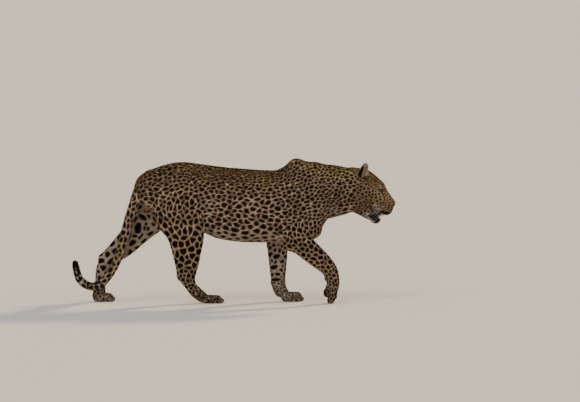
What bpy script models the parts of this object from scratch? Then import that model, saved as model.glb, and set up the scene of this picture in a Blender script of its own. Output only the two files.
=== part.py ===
"""Leopard walking, life size: an adult male, head low, mouth open.

Metres, +Z up, the animal looks towards +X, its right side is towards -Y.
One soft surface is built from named shapes, then parted by thin cuts into the
solids of head, neck, trunk, legs and tail. Numbers in the tables are millimetres.
"""

import math
import bmesh
import bpy
import mathutils
import numpy as np

FAR = 0.05


def smin(a, b, k):
    h = np.clip(0.5 + 0.5 * (b - a) / k, 0.0, 1.0)
    return b + (a - b) * h - k * h * (1.0 - h)


def smax(a, b, k):
    return -smin(-a, -b, k)


def unit(v):
    v = np.asarray(v, float)
    return v / max(np.linalg.norm(v), 1e-12)


class Ball:
    """Ellipsoid, or a sphere, with its own axes."""

    def __init__(self, centre, radii, axes=None):
        self.c = np.asarray(centre, float) * 0.001
        r = np.asarray(radii, float) * 0.001
        self.r = np.full(3, float(r)) if r.ndim == 0 else r
        self.axes = np.eye(3) if axes is None else np.asarray(axes, float)
        reach = np.sqrt(((self.axes * self.r[:, None]) ** 2).sum(0))
        self.lo, self.hi = self.c - reach, self.c + reach

    def dist(self, p):
        q = p - self.c.astype(np.float32)
        a = self.axes.astype(np.float32)
        u = [q[:, 0] * a[i, 0] + q[:, 1] * a[i, 1] + q[:, 2] * a[i, 2] for i in range(3)]
        k0 = np.sqrt(sum((u[i] / np.float32(self.r[i])) ** 2 for i in range(3)))
        k1 = np.sqrt(sum((u[i] / np.float32(self.r[i] ** 2)) ** 2 for i in range(3)))
        return np.where(k0 < 1e-6, np.float32(-self.r.min()), k0 * (k0 - 1.0) / np.maximum(k1, 1e-6))


class Rod:
    """Tapered rod with round ends. flat = (direction, factor) widens it along one direction."""

    def __init__(self, a, b, ra, rb, flat=None):
        self.a, self.b = np.asarray(a, float) * 0.001, np.asarray(b, float) * 0.001
        self.ra, self.rb = ra * 0.001, rb * 0.001
        self.flat = None
        grow = 1.0
        if flat is not None:
            self.flat = (unit(flat[0]), float(flat[1]))
            grow = max(1.0, flat[1])
        self.lo = np.minimum(self.a - self.ra * grow, self.b - self.rb * grow)
        self.hi = np.maximum(self.a + self.ra * grow, self.b + self.rb * grow)

    def dist(self, p):
        a, ba = self.a.astype(np.float32), (self.b - self.a).astype(np.float32)
        q = p - a
        t = np.clip((q[:, 0] * ba[0] + q[:, 1] * ba[1] + q[:, 2] * ba[2]) / np.float32((ba ** 2).sum()), 0, 1)
        q = q - t[:, None] * ba
        if self.flat is not None:
            n, s = self.flat[0].astype(np.float32), np.float32(self.flat[1])
            along = q[:, 0] * n[0] + q[:, 1] * n[1] + q[:, 2] * n[2]
            q = q - ((1 - 1 / s) * along)[:, None] * n
        length = np.sqrt((q ** 2).sum(1))
        return length - (np.float32(self.ra) + np.float32(self.rb - self.ra) * t)


def smooth_rows(rows, steps):
    """Catmull-Rom through the rows of a table."""
    rows = np.asarray(rows, float)
    p = np.vstack([2 * rows[0] - rows[1], rows, 2 * rows[-1] - rows[-2]])
    out = []
    for i in range(1, len(p) - 2):
        for s in range(steps):
            t = s / steps
            a, b, c, d = p[i - 1], p[i], p[i + 1], p[i + 2]
            out.append(0.5 * (2 * b + (c - a) * t + (2 * a - 5 * b + 4 * c - d) * t * t + (3 * b - a - 3 * c + d) * t ** 3))
    out.append(p[-2])
    return np.array(out)


class Chain:
    """Body length through stations (x, y, z, up, down, side) in mm. Up is the radius towards tangent x side."""

    def __init__(self, stations, steps=6, power=2.0, side=(0, 1, 0), caps=(0.6, 0.6)):
        s = smooth_rows(stations, steps)
        s[:, 3:] = np.maximum(s[:, 3:], 1.0)
        self.s = s * 0.001
        self.power = power
        self.caps = caps
        c = self.s[:, :3]
        t = np.gradient(c, axis=0)
        t /= np.linalg.norm(t, axis=1)[:, None]
        b = np.asarray(side, float)[None] - t * (t @ np.asarray(side, float))[:, None]
        b /= np.linalg.norm(b, axis=1)[:, None]
        self.t, self.b, self.n = t, b, np.cross(t, b)
        r = self.s[:, 3:].max(1)
        self.lo, self.hi = (c - r[:, None]).min(0), (c + r[:, None]).max(0)

    def dist(self, p, want=False):
        n = len(p)
        best = np.full(n, 1e9, np.float32)
        seg = np.zeros(n, np.int32)
        at = np.zeros(n, np.float32)
        c = self.s[:, :3].astype(np.float32)
        for i in range(len(c) - 1):
            ba = c[i + 1] - c[i]
            q0, q1, q2 = p[:, 0] - c[i, 0], p[:, 1] - c[i, 1], p[:, 2] - c[i, 2]
            t = np.clip((q0 * ba[0] + q1 * ba[1] + q2 * ba[2]) / (ba ** 2).sum(), 0, 1)
            d = (q0 - t * ba[0]) ** 2 + (q1 - t * ba[1]) ** 2 + (q2 - t * ba[2]) ** 2
            m = d < best
            best[m] = d[m]
            seg[m] = i
            at[m] = t[m]
        f = lambda table: (table.astype(np.float32)[seg] * (1 - at)[:, None] + table.astype(np.float32)[seg + 1] * at[:, None])
        q = p - f(c)
        tt, bb, nn = f(self.t), f(self.b), f(self.n)
        r = f(self.s[:, 3:])
        u, v, w = (q * nn).sum(1), (q * bb).sum(1), (q * tt).sum(1)
        ru = np.where(u > 0, r[:, 0], r[:, 1])
        rs = r[:, 2]
        small = np.minimum(np.minimum(r[:, 0], r[:, 1]), rs)
        rw = np.where(w > 0, self.caps[1], self.caps[0]).astype(np.float32) * np.minimum(0.5 * (r[:, 0] + r[:, 1]), rs)
        k = np.float32(self.power)
        ratio = (np.abs(u / ru) ** k + np.abs(v / rs) ** k + np.abs(w / rw) ** k) ** (1 / k)
        length = np.sqrt(u * u + v * v + w * w)
        d = np.where(ratio < 1e-4, -small, length * (1 - 1 / np.maximum(ratio, 1e-4)))
        # inside, the ray length overstates the depth of a flat shape
        d = np.maximum(d, -small)
        if want:
            return d, tt, seg + at
        return d


class Field:
    """Shapes joined and cut one after another, with soft joins."""

    def __init__(self):
        self.ops = []
        self.floor = None

    def add(self, shape, k=12.0, name=""):
        self.ops.append(("add", shape, k * 0.001, name))

    def cut(self, shape, k=6.0, name=""):
        self.ops.append(("cut", shape, k * 0.001, name))

    def both(self, make, k=12.0, op="add", name=""):
        for s in (-1, 1):
            (self.add if op == "add" else self.cut)(make(s), k, name)

    def box(self):
        adds = [s for o, s, k, n in self.ops if o == "add"]
        return np.min([s.lo for s in adds], 0), np.max([s.hi for s in adds], 0)

    def on_grid(self, lo, h, n, margin=0.03):
        xs = [np.float32(lo[i]) + np.float32(h) * np.arange(n[i], dtype=np.float32) for i in range(3)]
        f = np.full(n, FAR, np.float32)
        for op, shape, k, name in self.ops:
            a = np.maximum(np.floor((shape.lo - margin - lo) / h).astype(int), 0)
            b = np.minimum(np.ceil((shape.hi + margin - lo) / h).astype(int) + 1, n)
            if (b <= a).any():
                continue
            g = np.stack(np.meshgrid(*[xs[i][a[i]:b[i]] for i in range(3)], indexing="ij"), -1).reshape(-1, 3)
            d = shape.dist(g).reshape(b - a).astype(np.float32)
            s = tuple(slice(a[i], b[i]) for i in range(3))
            f[s] = smin(f[s], d, np.float32(k)) if op == "add" else smax(f[s], -d, np.float32(k))
        if self.floor is not None:
            f = np.maximum(f, np.float32(self.floor) - xs[2][None, None, :])
        return f

    def at(self, p, margin=0.03):
        p = np.asarray(p, np.float32)
        f = np.full(len(p), FAR, np.float32)
        for op, shape, k, name in self.ops:
            m = ((p > shape.lo - margin) & (p < shape.hi + margin)).all(1)
            if not m.any():
                continue
            i = np.flatnonzero(m)
            d = shape.dist(p[i])
            f[i] = smin(f[i], d, np.float32(k)) if op == "add" else smax(f[i], -d, np.float32(k))
        if self.floor is not None:
            f = np.maximum(f, np.float32(self.floor) - p[:, 2])
        return f

    def slope(self, p, e=0.0008):
        p = np.asarray(p, np.float32)
        g = np.stack([self.at(p + np.eye(3, dtype=np.float32)[i] * e) - self.at(p - np.eye(3, dtype=np.float32)[i] * e) for i in range(3)], 1) / (2 * e)
        return g


def surface(f, lo, h):
    """Surface nets: one point for each cell that the surface crosses, one quad for each crossed edge."""
    n = np.array(f.shape)
    inside = f < 0
    cells = n - 1
    total = np.zeros((3,) + tuple(cells), np.float32)
    count = np.zeros(tuple(cells), np.float32)
    quads = []
    for axis in range(3):
        a = [slice(None)] * 3
        b = [slice(None)] * 3
        a[axis], b[axis] = slice(0, -1), slice(1, None)
        fa, fb = f[tuple(a)], f[tuple(b)]
        crossed = inside[tuple(a)] != inside[tuple(b)]
        idx = np.argwhere(crossed)
        va, vb = fa[crossed], fb[crossed]
        t = va / (va - vb)
        point = idx.astype(np.float32)
        point[:, axis] += t
        others = [i for i in range(3) if i != axis]
        ring = []
        for da, db in ((0, 0), (1, 0), (1, 1), (0, 1)):
            c = idx.copy()
            c[:, others[0]] -= da
            c[:, others[1]] -= db
            ok = (c >= 0).all(1) & (c < cells).all(1)
            flat = np.ravel_multi_index(c[ok].T, tuple(cells))
            for i in range(3):
                np.add.at(total[i].reshape(-1), flat, point[ok, i])
            np.add.at(count.reshape(-1), flat, 1)
            ring.append(np.ravel_multi_index(np.clip(c, 0, cells - 1).T, tuple(cells)))
        ring = np.stack(ring, 1)
        flip = inside[tuple(a)][crossed]
        if axis == 1:
            flip = ~flip
        ring[~flip] = ring[~flip][:, ::-1]
        quads.append(ring)
    quads = np.concatenate(quads)
    used, inverse = np.unique(quads, return_inverse=True)
    c = count.reshape(-1)[used]
    pts = np.stack([total[i].reshape(-1)[used] / c for i in range(3)], 1)
    pts = pts * np.float32(h) + np.asarray(lo, np.float32)
    return pts, inverse.reshape(quads.shape)


# Head frame: forward along the palate, side, up
HEAD_AT = (624.0, 0.0, 549.6)
HEAD_PITCH = 30.0
_c, _s = math.cos(math.radians(HEAD_PITCH)), math.sin(math.radians(HEAD_PITCH))
HF, HS, HU = np.array([_c, 0, -_s]), np.array([0, 1.0, 0]), np.array([_s, 0, _c])
HEAD_AXES = np.stack([HF, HS, HU])
EYE = (56.0, 37.0, 40.0)
EYE_R = 15.5


def H(f, s, u):
    return np.array(HEAD_AT) + f * HF + s * HS + u * HU


def eye_look(s):
    return unit(0.84 * HF + s * 0.53 * HS + 0.06 * HU)


def hball(f, s, u, r):
    return Ball(H(f, s, u), r, HEAD_AXES)


def hrod(a, b, ra, rb, flat=None):
    if flat is not None:
        flat = (flat[0][0] * HF + flat[0][1] * HS + flat[0][2] * HU, flat[1])
    return Rod(H(*a), H(*b), ra, rb, flat)


TRUNK = [
    (-438, 0, 548, 46, 56, 64), (-421, 0, 552, 70, 68, 76), (-390, 0, 546, 103, 86, 88), (-333, 0, 532, 141, 122, 98),
    (-264, 0, 520, 158, 148, 102), (-177, 0, 510, 158, 158, 102), (-91, 0, 495, 162, 177, 105), (-34, 0, 482, 170, 184, 111),
    (24, 0, 472, 174, 183, 117), (90, 0, 468, 173, 182, 120), (154, 0, 468, 170, 182, 118), (215, 0, 470, 168, 180, 112),
    (280, 0, 478, 168, 178, 104), (340, 0, 490, 160, 166, 94), (385, 0, 500, 140, 140, 78), (405, 0, 502, 120, 118, 62)]
NECK = [
    (290, 0, 535, 142, 140, 88), (370, 0, 533, 146, 138, 88), (430, 0, 532, 136, 134, 86), (480, 0, 535, 128, 126, 83),
    (526, 0, 537, 118, 116, 80), (565, 0, 540, 108, 104, 76)]
NEAR_FORE = [
    (280, -94, 322, 62, 58, 38), (338, -95, 268, 58, 54, 39), (395, -92, 220, 50, 50, 36), (434, -90, 184, 44, 43, 33),
    (459, -87, 150, 38, 38, 31), (470, -84, 106, 33, 32, 31), (464, -82, 68, 33, 33, 35), (458, -81, 40, 31, 32, 38)]
FAR_FORE = [
    (214, 84, 344, 50, 46, 28), (204, 91, 272, 54, 51, 39), (205, 88, 190, 46, 45, 34), (207, 82, 112, 37, 37, 31),
    (211, 78, 74, 35, 35, 33), (222, 75, 44, 34, 32, 36)]
NEAR_HIND = [
    (-322, -46, 560, 80, 76, 34), (-285, -70, 482, 118, 110, 46), (-258, -82, 402, 117, 114, 47), (-238, -86, 348, 98, 94, 44),
    (-227, -86, 301, 81, 78, 39), (-223, -84, 240, 64, 59, 34), (-221, -82, 207, 55, 56, 31), (-225, -80, 165, 47, 48, 28),
    (-229, -77, 128, 43, 42, 26), (-211, -74, 84, 29, 30, 26), (-185, -72, 52, 31, 30, 30), (-160, -70, 32, 28, 27, 34)]
FAR_HIND = [
    (-335, 46, 556, 78, 78, 34), (-375, 72, 468, 104, 98, 46), (-425, 84, 402, 92, 84, 45), (-482, 82, 332, 73, 62, 40),
    (-541, 78, 271, 63, 43, 33), (-590, 75, 230, 51, 31, 29), (-626, 72, 192, 37, 31, 26), (-643, 70, 148, 29, 29, 25),
    (-648, 69, 100, 27, 27, 26), (-653, 68, 62, 31, 31, 31), (-651, 68, 36, 30, 34, 34)]
TAIL = [
    (-440, 0, 578, 26, 26, 26), (-463, 0, 532, 30, 30, 30), (-485, -1, 468, 28, 28, 28), (-509, -2, 396, 27, 27, 27),
    (-528, -3, 324, 26, 26, 26), (-547, -4, 262, 24.5, 24.5, 24.5), (-566, -5, 204, 23.5, 23.5, 23.5), (-593, -6, 151, 22.5, 22.5, 22.5),
    (-629, -7, 103, 22, 22, 22), (-667, -8, 79, 22, 22, 22), (-708, -9, 82, 21.5, 21.5, 21.5), (-744, -10, 110, 21, 21, 21),
    (-761, -10, 156, 20, 20, 20), (-767, -10, 190, 17, 17, 17)]


def paw(f, at, yaw, spread, knuckle, tip, sole, hind=False):
    """A flat foot: four toes with knuckles and tips, and the main pad. at = middle of the toe roots."""
    ca, sa = math.cos(math.radians(yaw)), math.sin(math.radians(yaw))

    def P(x, y, z):
        return (at[0] + x * ca - y * sa, at[1] + x * sa + y * ca, z)

    for i, y in enumerate((-1.5, -0.52, 0.52, 1.5)):
        lead = 0 if abs(y) > 1 else 9
        y *= spread
        f.add(Rod(P(-8 + lead, y * 0.82, sole + knuckle[2] - 6), P(knuckle[0] + lead, y, sole + knuckle[2]), knuckle[1], knuckle[1]), 7, "toe")
        f.add(Rod(P(knuckle[0] + lead, y, sole + knuckle[2]), P(tip[0] + lead, y * 1.04, sole + tip[2]), knuckle[1] - 1, tip[1]), 5, "toe")
        f.add(Ball(P(tip[0] + lead - 8, y, sole + 8), (13, 9.5, 8)), 4, "toe pad")
    f.add(Ball(P(-10, 0, sole + 14), (27, spread * 1.35, 14)), 8, "pad")
    f.add(Ball(P(-6, 0, sole + knuckle[2] - 1), (38, spread * 1.75, 21)), 18, "instep")


def flesh():
    f = Field()
    f.add(Chain(TRUNK, 4, 2.15), 1, "trunk")
    f.add(Chain(NECK, 4, 2.1), 45, "neck")
    f.add(Ball((376, 0, 400), (52, 66, 82)), 30, "breast")
    f.add(Rod((300, 0, 318), (370, 0, 345), 36, 40), 30, "breast")
    # shoulders
    for s, x0, top, x1, z1 in ((-1, 284, 676, 368, 405), (1, 296, 681, 350, 400)):
        blade = unit((x0 - x1, 0, 660 - z1))
        ax = np.stack([blade, np.cross((0, 1, 0), blade), (0, 1, 0)])
        f.add(Ball(((x0 + x1) / 2 - 6, s * 64, (top + z1) / 2 + 6), (148, 70, 34), ax), 40, "blade")
        f.add(Rod((x0 + 4, s * 34, 646), (x0 - 40, s * 30, 622), 34, 28, ((1, 0, 0), 1.3)), 34, "blade")
        f.add(Ball((x1 - 6, s * 80, z1 + 4), (64, 38, 76)), 40, "shoulder")
    f.add(Ball((290, -83, 356), (78, 36, 90)), 42, "triceps")
    f.add(Ball((256, 81, 358), (82, 36, 92)), 42, "triceps")
    f.add(Rod((360, -82, 385), (288, -90, 302), 46, 46), 36, "arm")
    f.add(Rod((330, 80, 385), (218, 88, 305), 46, 46), 36, "arm")
    f.add(Ball((262, -95, 286), (26, 24, 34)), 18, "elbow")
    f.add(Ball((174, 91, 292), (24, 24, 34)), 18, "elbow")
    # hips and thighs
    f.add(Ball((-420, 0, 578), (48, 46, 42)), 28, "croup")
    for s in (-1, 1):
        f.add(Ball((-312, s * 46, 592), (104, 46, 66)), 40, "hip")
        f.add(Ball((-402, s * 46, 545), (62, 42, 88)), 30, "buttock")
    f.add(Ball((-262, -76, 470), (104, 44, 112)), 36, "thigh")
    f.add(Ball((-318, 74, 462), (104, 44, 112)), 36, "thigh")
    f.add(Rod((-190, -66, 412), (-110, -56, 372), 34, 18), 44, "fold")
    f.add(Rod((-300, 66, 430), (-200, 56, 388), 34, 18), 44, "fold")
    f.add(Ball((-180, -88, 384), (40, 30, 46)), 24, "knee")
    f.add(Ball((-396, 86, 376), (46, 30, 46)), 24, "knee")
    # limbs
    legs = Field()
    for st in (NEAR_FORE, FAR_FORE, NEAR_HIND, FAR_HIND):
        f.add(Chain(st, 5, 2.1), 22, "limb")
    f.add(Ball((-262, -77, 128), (17, 15, 22)), 12, "hock")
    f.add(Ball((-641, 72, 206), (17, 15, 20)), 12, "hock")
    f.add(Rod((-300, -80, 330), (-264, -77, 140), 26, 12), 22, "tendon")
    f.add(Rod((-536, 80, 318), (-640, 72, 214), 22, 11), 24, "tendon")
    f.add(Ball((437, -84, 122), (12, 14, 16)), 9, "wrist pad")
    f.add(Ball((180, 80, 92), (11, 14, 15)), 9, "wrist pad")
    # feet on the ground
    paw(f, (262, 74), -2, 19.5, (30, 18.5, 30), (46, 14.5, 15), -2)
    paw(f, (-122, -70), 2, 17.5, (30, 16.5, 25), (50, 13, 14), -2)
    paw(f, (-642, 68), -3, 17.5, (28, 16.5, 27), (44, 13.5, 15), -2)
    # near forefoot, hanging, toe tips on the ground
    for y in (-1.5, -0.52, 0.52, 1.5):
        low = 0 if abs(y) > 1 else 1
        y *= 19.0
        f.add(Rod((462, -81 + y * 0.85, 62), (472, -81 + y, 34), 19, 18), 8, "toe")
        f.add(Rod((472, -81 + y, 34), (462, -81 + y * 1.03, 12), 17.5, 14), 5, "toe")
        f.add(Ball((448, -81 + y, 15), (9, 9.5, 13)), 4, "toe pad")
    f.add(Ball((436, -81, 50), (15, 26, 22)), 8, "pad")
    # tail and what hangs below it
    f.add(Chain(TAIL, 5, 2.0), 26, "tail")
    f.add(Ball((-360, 0, 398), (30, 20, 26)), 24, "sheath")
    # head
    f.add(hball(-20, 0, 18, (88, 67, 66)), 30, "cranium")
    f.add(hball(36, 0, 30, (56, 56, 42)), 18, "brow")
    f.both(lambda s: hball(10, s * 50, -8, (62, 38, 52)), 20, name="cheek")
    f.both(lambda s: hball(0, s * 44, -60, (58, 38, 54)), 22, name="masseter")
    f.both(lambda s: hball(64, s * 33, -4, (48, 26, 38)), 16, name="cheek")
    f.add(hrod((56, 0, 34), (140, 0, 1), 28, 22, ((0, 1, 0), 1.3)), 14, "bridge")
    f.add(hrod((74, 0, -8), (134, 0, -26), 42, 34, ((0, 1, 0), 1.12)), 16, "snout")
    f.both(lambda s: hball(130, s * 25, -35, (39, 28, 34)), 12, name="pad")
    f.both(lambda s: hball(96, s * 33, -44, (44, 22, 31)), 14, name="lip")
    f.add(hball(146, 0, 2, (19, 21, 17)), 8, "nose")
    f.add(hrod((20, 0, -90), (116, 0, -101), 40, 23, ((0, 1, 0), 1.25)), 16, "jaw")
    f.add(hball(122, 0, -103, (23, 28, 22)), 12, "chin")
    f.cut(hrod((84, 0, -85), (180, 0, -74), 3.0, 16.0, ((0, 1, 0), 14)), 4, "mouth")
    f.both(lambda s: hball(48, s * 30, 54, (26, 21, 12)), 18, name="brow")
    for s in (-1, 1):
        look = eye_look(s)
        across = unit(np.cross(HU, look))
        ax = np.stack([look, across, np.cross(look, across)])
        f.cut(Ball(H(EYE[0], s * EYE[1], EYE[2]) + look * 14, (12, 19, 15), ax), 12, "socket")
        f.add(Ball(H(EYE[0], s * EYE[1], EYE[2]), (17.2, 17.2, 16.4), ax), 6, "lids")
        f.cut(Ball(H(EYE[0], s * EYE[1], EYE[2]) + look * 16.5, (5.5, 11.5, 7.5), ax), 3, "lids")
    for s in (-1, 1):
        up = unit(-17 * HF + s * 14 * HS + 57 * HU)
        nrm = 0.94 * HF + s * 0.34 * HS + 0.1 * HU
        nrm = unit(nrm - up * (nrm @ up))
        wide = np.cross(up, nrm)
        ax = np.stack([up, wide, nrm])
        c = H(-43, s * 66, 66)
        f.add(Ball(c, (41, 32, 17), ax), 14, "ear")
        f.add(Rod(H(-36, s * 52, 36), H(-42, s * 60, 56), 28, 22), 14, "ear")
        f.cut(Ball(c + nrm * 15 + up * 2, (31, 23, 15), ax), 4, "ear")
    f.floor = 0.0
    return f


# ---------------------------------------------------------------- solids

GRID = 0.0045           # spacing of the surface grid
BODY_TRIS = 3960        # faces of the whole body before it is parted
CUT = 0.0003            # gap between neighbouring solids
TO_ORIGIN = (0.00519, 0.00222, 0.0)    # brings the middle of the box under the body to the origin
COAT = ((0.62, 0.44, 0.25, 1), 0.85)
PALE = ((0.74, 0.66, 0.55, 1), 0.85)
BELLY = ((0.66, 0.52, 0.36, 1), 0.85)


def clear():
    for o in list(bpy.data.objects):
        bpy.data.objects.remove(o, do_unlink=True)
    for m in list(bpy.data.meshes):
        bpy.data.meshes.remove(m)
    for m in list(bpy.data.materials):
        bpy.data.materials.remove(m)


def mesh_object(name, verts, faces):
    me = bpy.data.meshes.new(name)
    me.from_pydata([tuple(map(float, v)) for v in verts], [], [tuple(map(int, q)) for q in faces])
    me.update()
    ob = bpy.data.objects.new(name, me)
    bpy.context.scene.collection.objects.link(ob)
    return ob


def settle(ob):
    """Puts the result of the modifiers in place of the mesh."""
    dg = bpy.context.evaluated_depsgraph_get()
    me = bpy.data.meshes.new_from_object(ob.evaluated_get(dg))
    ob.modifiers.clear()
    ob.data = me


def boolean(ob, cutter, kind):
    m = ob.modifiers.new("b", "BOOLEAN")
    m.operation = kind
    m.solver = "EXACT"
    m.object = cutter
    settle(ob)


def drop(ob):
    bpy.data.objects.remove(ob, do_unlink=True)


def sheet(corners):
    """Thin closed plate on a flat polygon."""
    c = np.asarray(corners, float) * 0.001
    n = unit(np.cross(c[1] - c[0], c[2] - c[0])) * CUT / 2
    k = len(c)
    verts = np.vstack([c - n, c + n])
    faces = [list(range(k))[::-1], list(range(k, 2 * k))] + [[i, (i + 1) % k, k + (i + 1) % k, k + i] for i in range(k)]
    ob = mesh_object("cutter", verts, faces)
    ob.hide_render = True
    ob.display_type = "WIRE"
    return ob


def square(centre, normal, half, across=None, side=(0, 1, 0)):
    """Corners of a rectangle across a limb: half along the bend plane, across along the side direction."""
    c, n = np.asarray(centre, float), unit(normal)
    s = unit(np.asarray(side, float) - n * (np.asarray(side, float) @ n))
    u = np.cross(n, s)
    w = half if across is None else across
    return [c - u * half - s * w, c + u * half - s * w, c + u * half + s * w, c - u * half + s * w]


def wedge(low, high, x0, x1, lean, far):
    """Two plates that take a limb off the trunk: one along the body, leaning out, and one across behind or before it.
    low, high = (y, z) of the first plate's edges; lean = x of the second plate at its low and high edge."""
    s = 1 if high[0] > 0 else -1
    along = [(x0, low[0], low[1]), (x1, low[0], low[1]), (x1, high[0], high[1]), (x0, high[0], high[1])]
    inner = [(lean[0], low[0] - s * 1.0, low[1]), (lean[1], high[0] - s * 1.0, high[1])]
    cross = [inner[0], inner[1], (lean[1], s * far, high[1]), (lean[0], s * far, low[1])]
    return [along, cross]


def plates():
    out = []
    # limbs from the trunk
    out += wedge((-12, 300), (-116, 655), -478, -109, (-112, -172), 190)
    out += wedge((12, 300), (116, 655), -480, -211, (-318, -214), 190)
    out += wedge((-14, 250), (-128, 580), 195, 446, (196, 214), 190)
    out += wedge((14, 250), (128, 580), 137, 446, (138, 182), 190)
    # along the legs
    out.append(square((352, -94, 258), (0.75, 0, -0.66), 75, 58))
    out.append(square((466, -86, 130), (0.35, 0, -0.94), 60, 50))
    out.append(square((204, 90, 258), (0, 0, -1), 75, 58))
    out.append(square((209, 80, 94), (0, 0, -1), 55, 52))
    out.append(square((-228, -86, 300), (0, 0, -1), 105, 58))
    out.append(square((-222, -77, 106), (0.45, 0, -0.89), 55, 48))
    out.append(square((-156, -70, 34), (0.9, 0, -0.43), 50, 52))
    out.append(square((-470, 84, 345), (-0.8, 0, -0.6), 98, 54))
    out.append(square((-636, 72, 176), (-0.25, 0, -0.97), 50, 46))
    out.append(square((-653, 69, 66), (0, 0, -1), 50, 48))
    # tail
    for c, n in (((-498, -1, 430), (-0.32, 0, -0.95)), ((-549, -4, 255), (-0.31, 0, -0.95)), ((-640, -7, 94), (-0.88, 0, -0.47)), ((-748, -10, 116), (-0.4, 0, 0.92))):
        out.append(square(c, n, 36, 34))
    # trunk, neck and head
    out.append([(115, -170, 200), (115, 170, 200), (115, 170, 760), (115, -170, 760)])
    out.append([(-100, -170, 240), (-100, 170, 240), (-100, 170, 760), (-100, -170, 760)])
    out.append([(468, -150, 340), (468, 150, 340), (368, 150, 740), (368, -150, 740)])
    out.append([(536, -130, 370), (536, 130, 370), (570, 130, 700), (570, -130, 700)])
    # ears
    for s in (-1, 1):
        out.append([H(f, s * y, u) for f, y, u in ((14, 36, 92), (-96, 36, 92), (-96, 100, 40), (14, 100, 40))])
    # lower jaw
    out.append([H(f, y, u) for f, y, u in ((104, -110, -82), (104, 110, -82), (22, 110, -99), (22, -110, -99))])
    out.append([H(f, y, u) for f, y, u in ((23, -110, -97), (23, 110, -97), (2, 110, -190), (2, -110, -190))])
    return out


def islands(ob):
    bm = bmesh.new()
    bm.from_mesh(ob.data)
    seen, parts = set(), []
    for start in bm.faces:
        if start.index in seen:
            continue
        stack, group = [start], []
        seen.add(start.index)
        while stack:
            f = stack.pop()
            group.append(f)
            for e in f.edges:
                for g in e.link_faces:
                    if g.index not in seen:
                        seen.add(g.index)
                        stack.append(g)
        keys = sorted({v.index for f in group for v in f.verts})
        at = {k: i for i, k in enumerate(keys)}
        bm.verts.ensure_lookup_table()
        verts = np.array([bm.verts[k].co[:] for k in keys])
        faces = [[at[v.index] for v in f.verts] for f in group]
        parts.append((verts, faces))
    bm.free()
    return parts


def middle(verts, faces):
    vol, mid = 0.0, np.zeros(3)
    for f in faces:
        a = verts[f[0]]
        for i in range(1, len(f) - 1):
            b, c = verts[f[i]], verts[f[i + 1]]
            v = float(np.dot(a, np.cross(b, c))) / 6
            vol += v
            mid += v * (a + b + c) / 4
    return vol, mid / vol if abs(vol) > 1e-12 else verts.mean(0)


def tidy(ob):
    """Triangles only, no slivers, outward faces."""
    bm = bmesh.new()
    bm.from_mesh(ob.data)
    bmesh.ops.remove_doubles(bm, verts=bm.verts, dist=0.00004)
    bmesh.ops.dissolve_degenerate(bm, edges=bm.edges, dist=0.00004)
    bmesh.ops.triangulate(bm, faces=bm.faces)
    bmesh.ops.recalc_face_normals(bm, faces=bm.faces)
    bm.to_mesh(ob.data)
    bm.free()


def outward(ob):
    bm = bmesh.new()
    bm.from_mesh(ob.data)
    bmesh.ops.recalc_face_normals(bm, faces=bm.faces)
    bm.to_mesh(ob.data)
    bm.free()


def paint(ob, name, colour, rough):
    m = bpy.data.materials.new(name)
    m.use_nodes = True
    p = m.node_tree.nodes["Principled BSDF"]
    p.inputs["Base Color"].default_value = colour
    p.inputs["Roughness"].default_value = rough
    p.inputs["Metallic"].default_value = 0.0
    ob.data.materials.clear()
    ob.data.materials.append(m)


def rings(name, rows, sides, axes, grow=0.0):
    """Closed body through rings (centre, half width, half height), for tongue and teeth."""
    s, u = axes
    verts, faces = [rows[0][0] * 0.001], []
    for c, w, h in rows[1:-1]:
        for i in range(sides):
            a = 2 * math.pi * i / sides
            verts.append((c + s * (w + grow) * math.cos(a) + u * (h + grow) * math.sin(a)) * 0.001)
    verts.append(rows[-1][0] * 0.001)
    k = len(rows) - 2
    for i in range(sides):
        j = (i + 1) % sides
        faces.append((0, 1 + j, 1 + i))
        for r in range(k - 1):
            a, b = 1 + r * sides, 1 + (r + 1) * sides
            faces.append((a + i, a + j, b + j, b + i))
        a = 1 + (k - 1) * sides
        faces.append((a + i, a + j, len(verts) - 1))
    ob = mesh_object(name, verts, faces)
    tidy(ob)
    return ob


def egg(name, centre, radii, axes, level, grow=0.0):
    bm = bmesh.new()
    bmesh.ops.create_icosphere(bm, subdivisions=level, radius=1.0)
    verts = [np.asarray(centre, float) + sum(v.co[i] * (radii[i] + grow) * np.asarray(axes[i]) for i in range(3)) for v in bm.verts]
    faces = [[v.index for v in f.verts] for f in bm.faces]
    bm.free()
    ob = mesh_object(name, np.array(verts) * 0.001, faces)
    tidy(ob)
    return ob


def tongue(name, grow):
    rows, n = [], 9
    for i in range(n + 1):
        t = i / n
        f = 62 + 72 * t + (grow if i == n else -grow if i == 0 else 0)
        u = -90 + 6.5 * math.sin(math.pi * min(t * 1.1, 1.0)) + 3.0 * t
        w = 21 * math.sqrt(max(1 - max((t - 0.45) / 0.55, 0) ** 2.2, 0)) * (0.8 + 0.2 * min(t * 4, 1))
        rows.append((H(f, 0, u), max(w, 1), 7.5 * math.sqrt(max(1 - max((t - 0.6) / 0.4, 0) ** 2.4, 0.02))))
    return rings(name, rows, 14, (HS, HU), grow)


def canine(name, s, upper, grow):
    rows, n = [], 5
    for i in range(n + 1):
        t = i / n
        if upper:
            c = H(139 + 4 * t - 7 * t * t, s * (20 - 1.5 * t), -52 - 32 * t - (grow if i == n else 0))
            r = 5.6
        else:
            c = H(128 + 2 * t - 5 * t * t, s * (15 + 1.0 * t), -98 + 25 * t + (grow if i == n else 0))
            r = 4.6
        rows.append((c, r * (1 - 0.88 * t ** 1.4), r * 0.85 * (1 - 0.88 * t ** 1.4)))
    return rings(name, rows, 9, (HF, HS) if upper else (HS, HF), grow)


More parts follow.
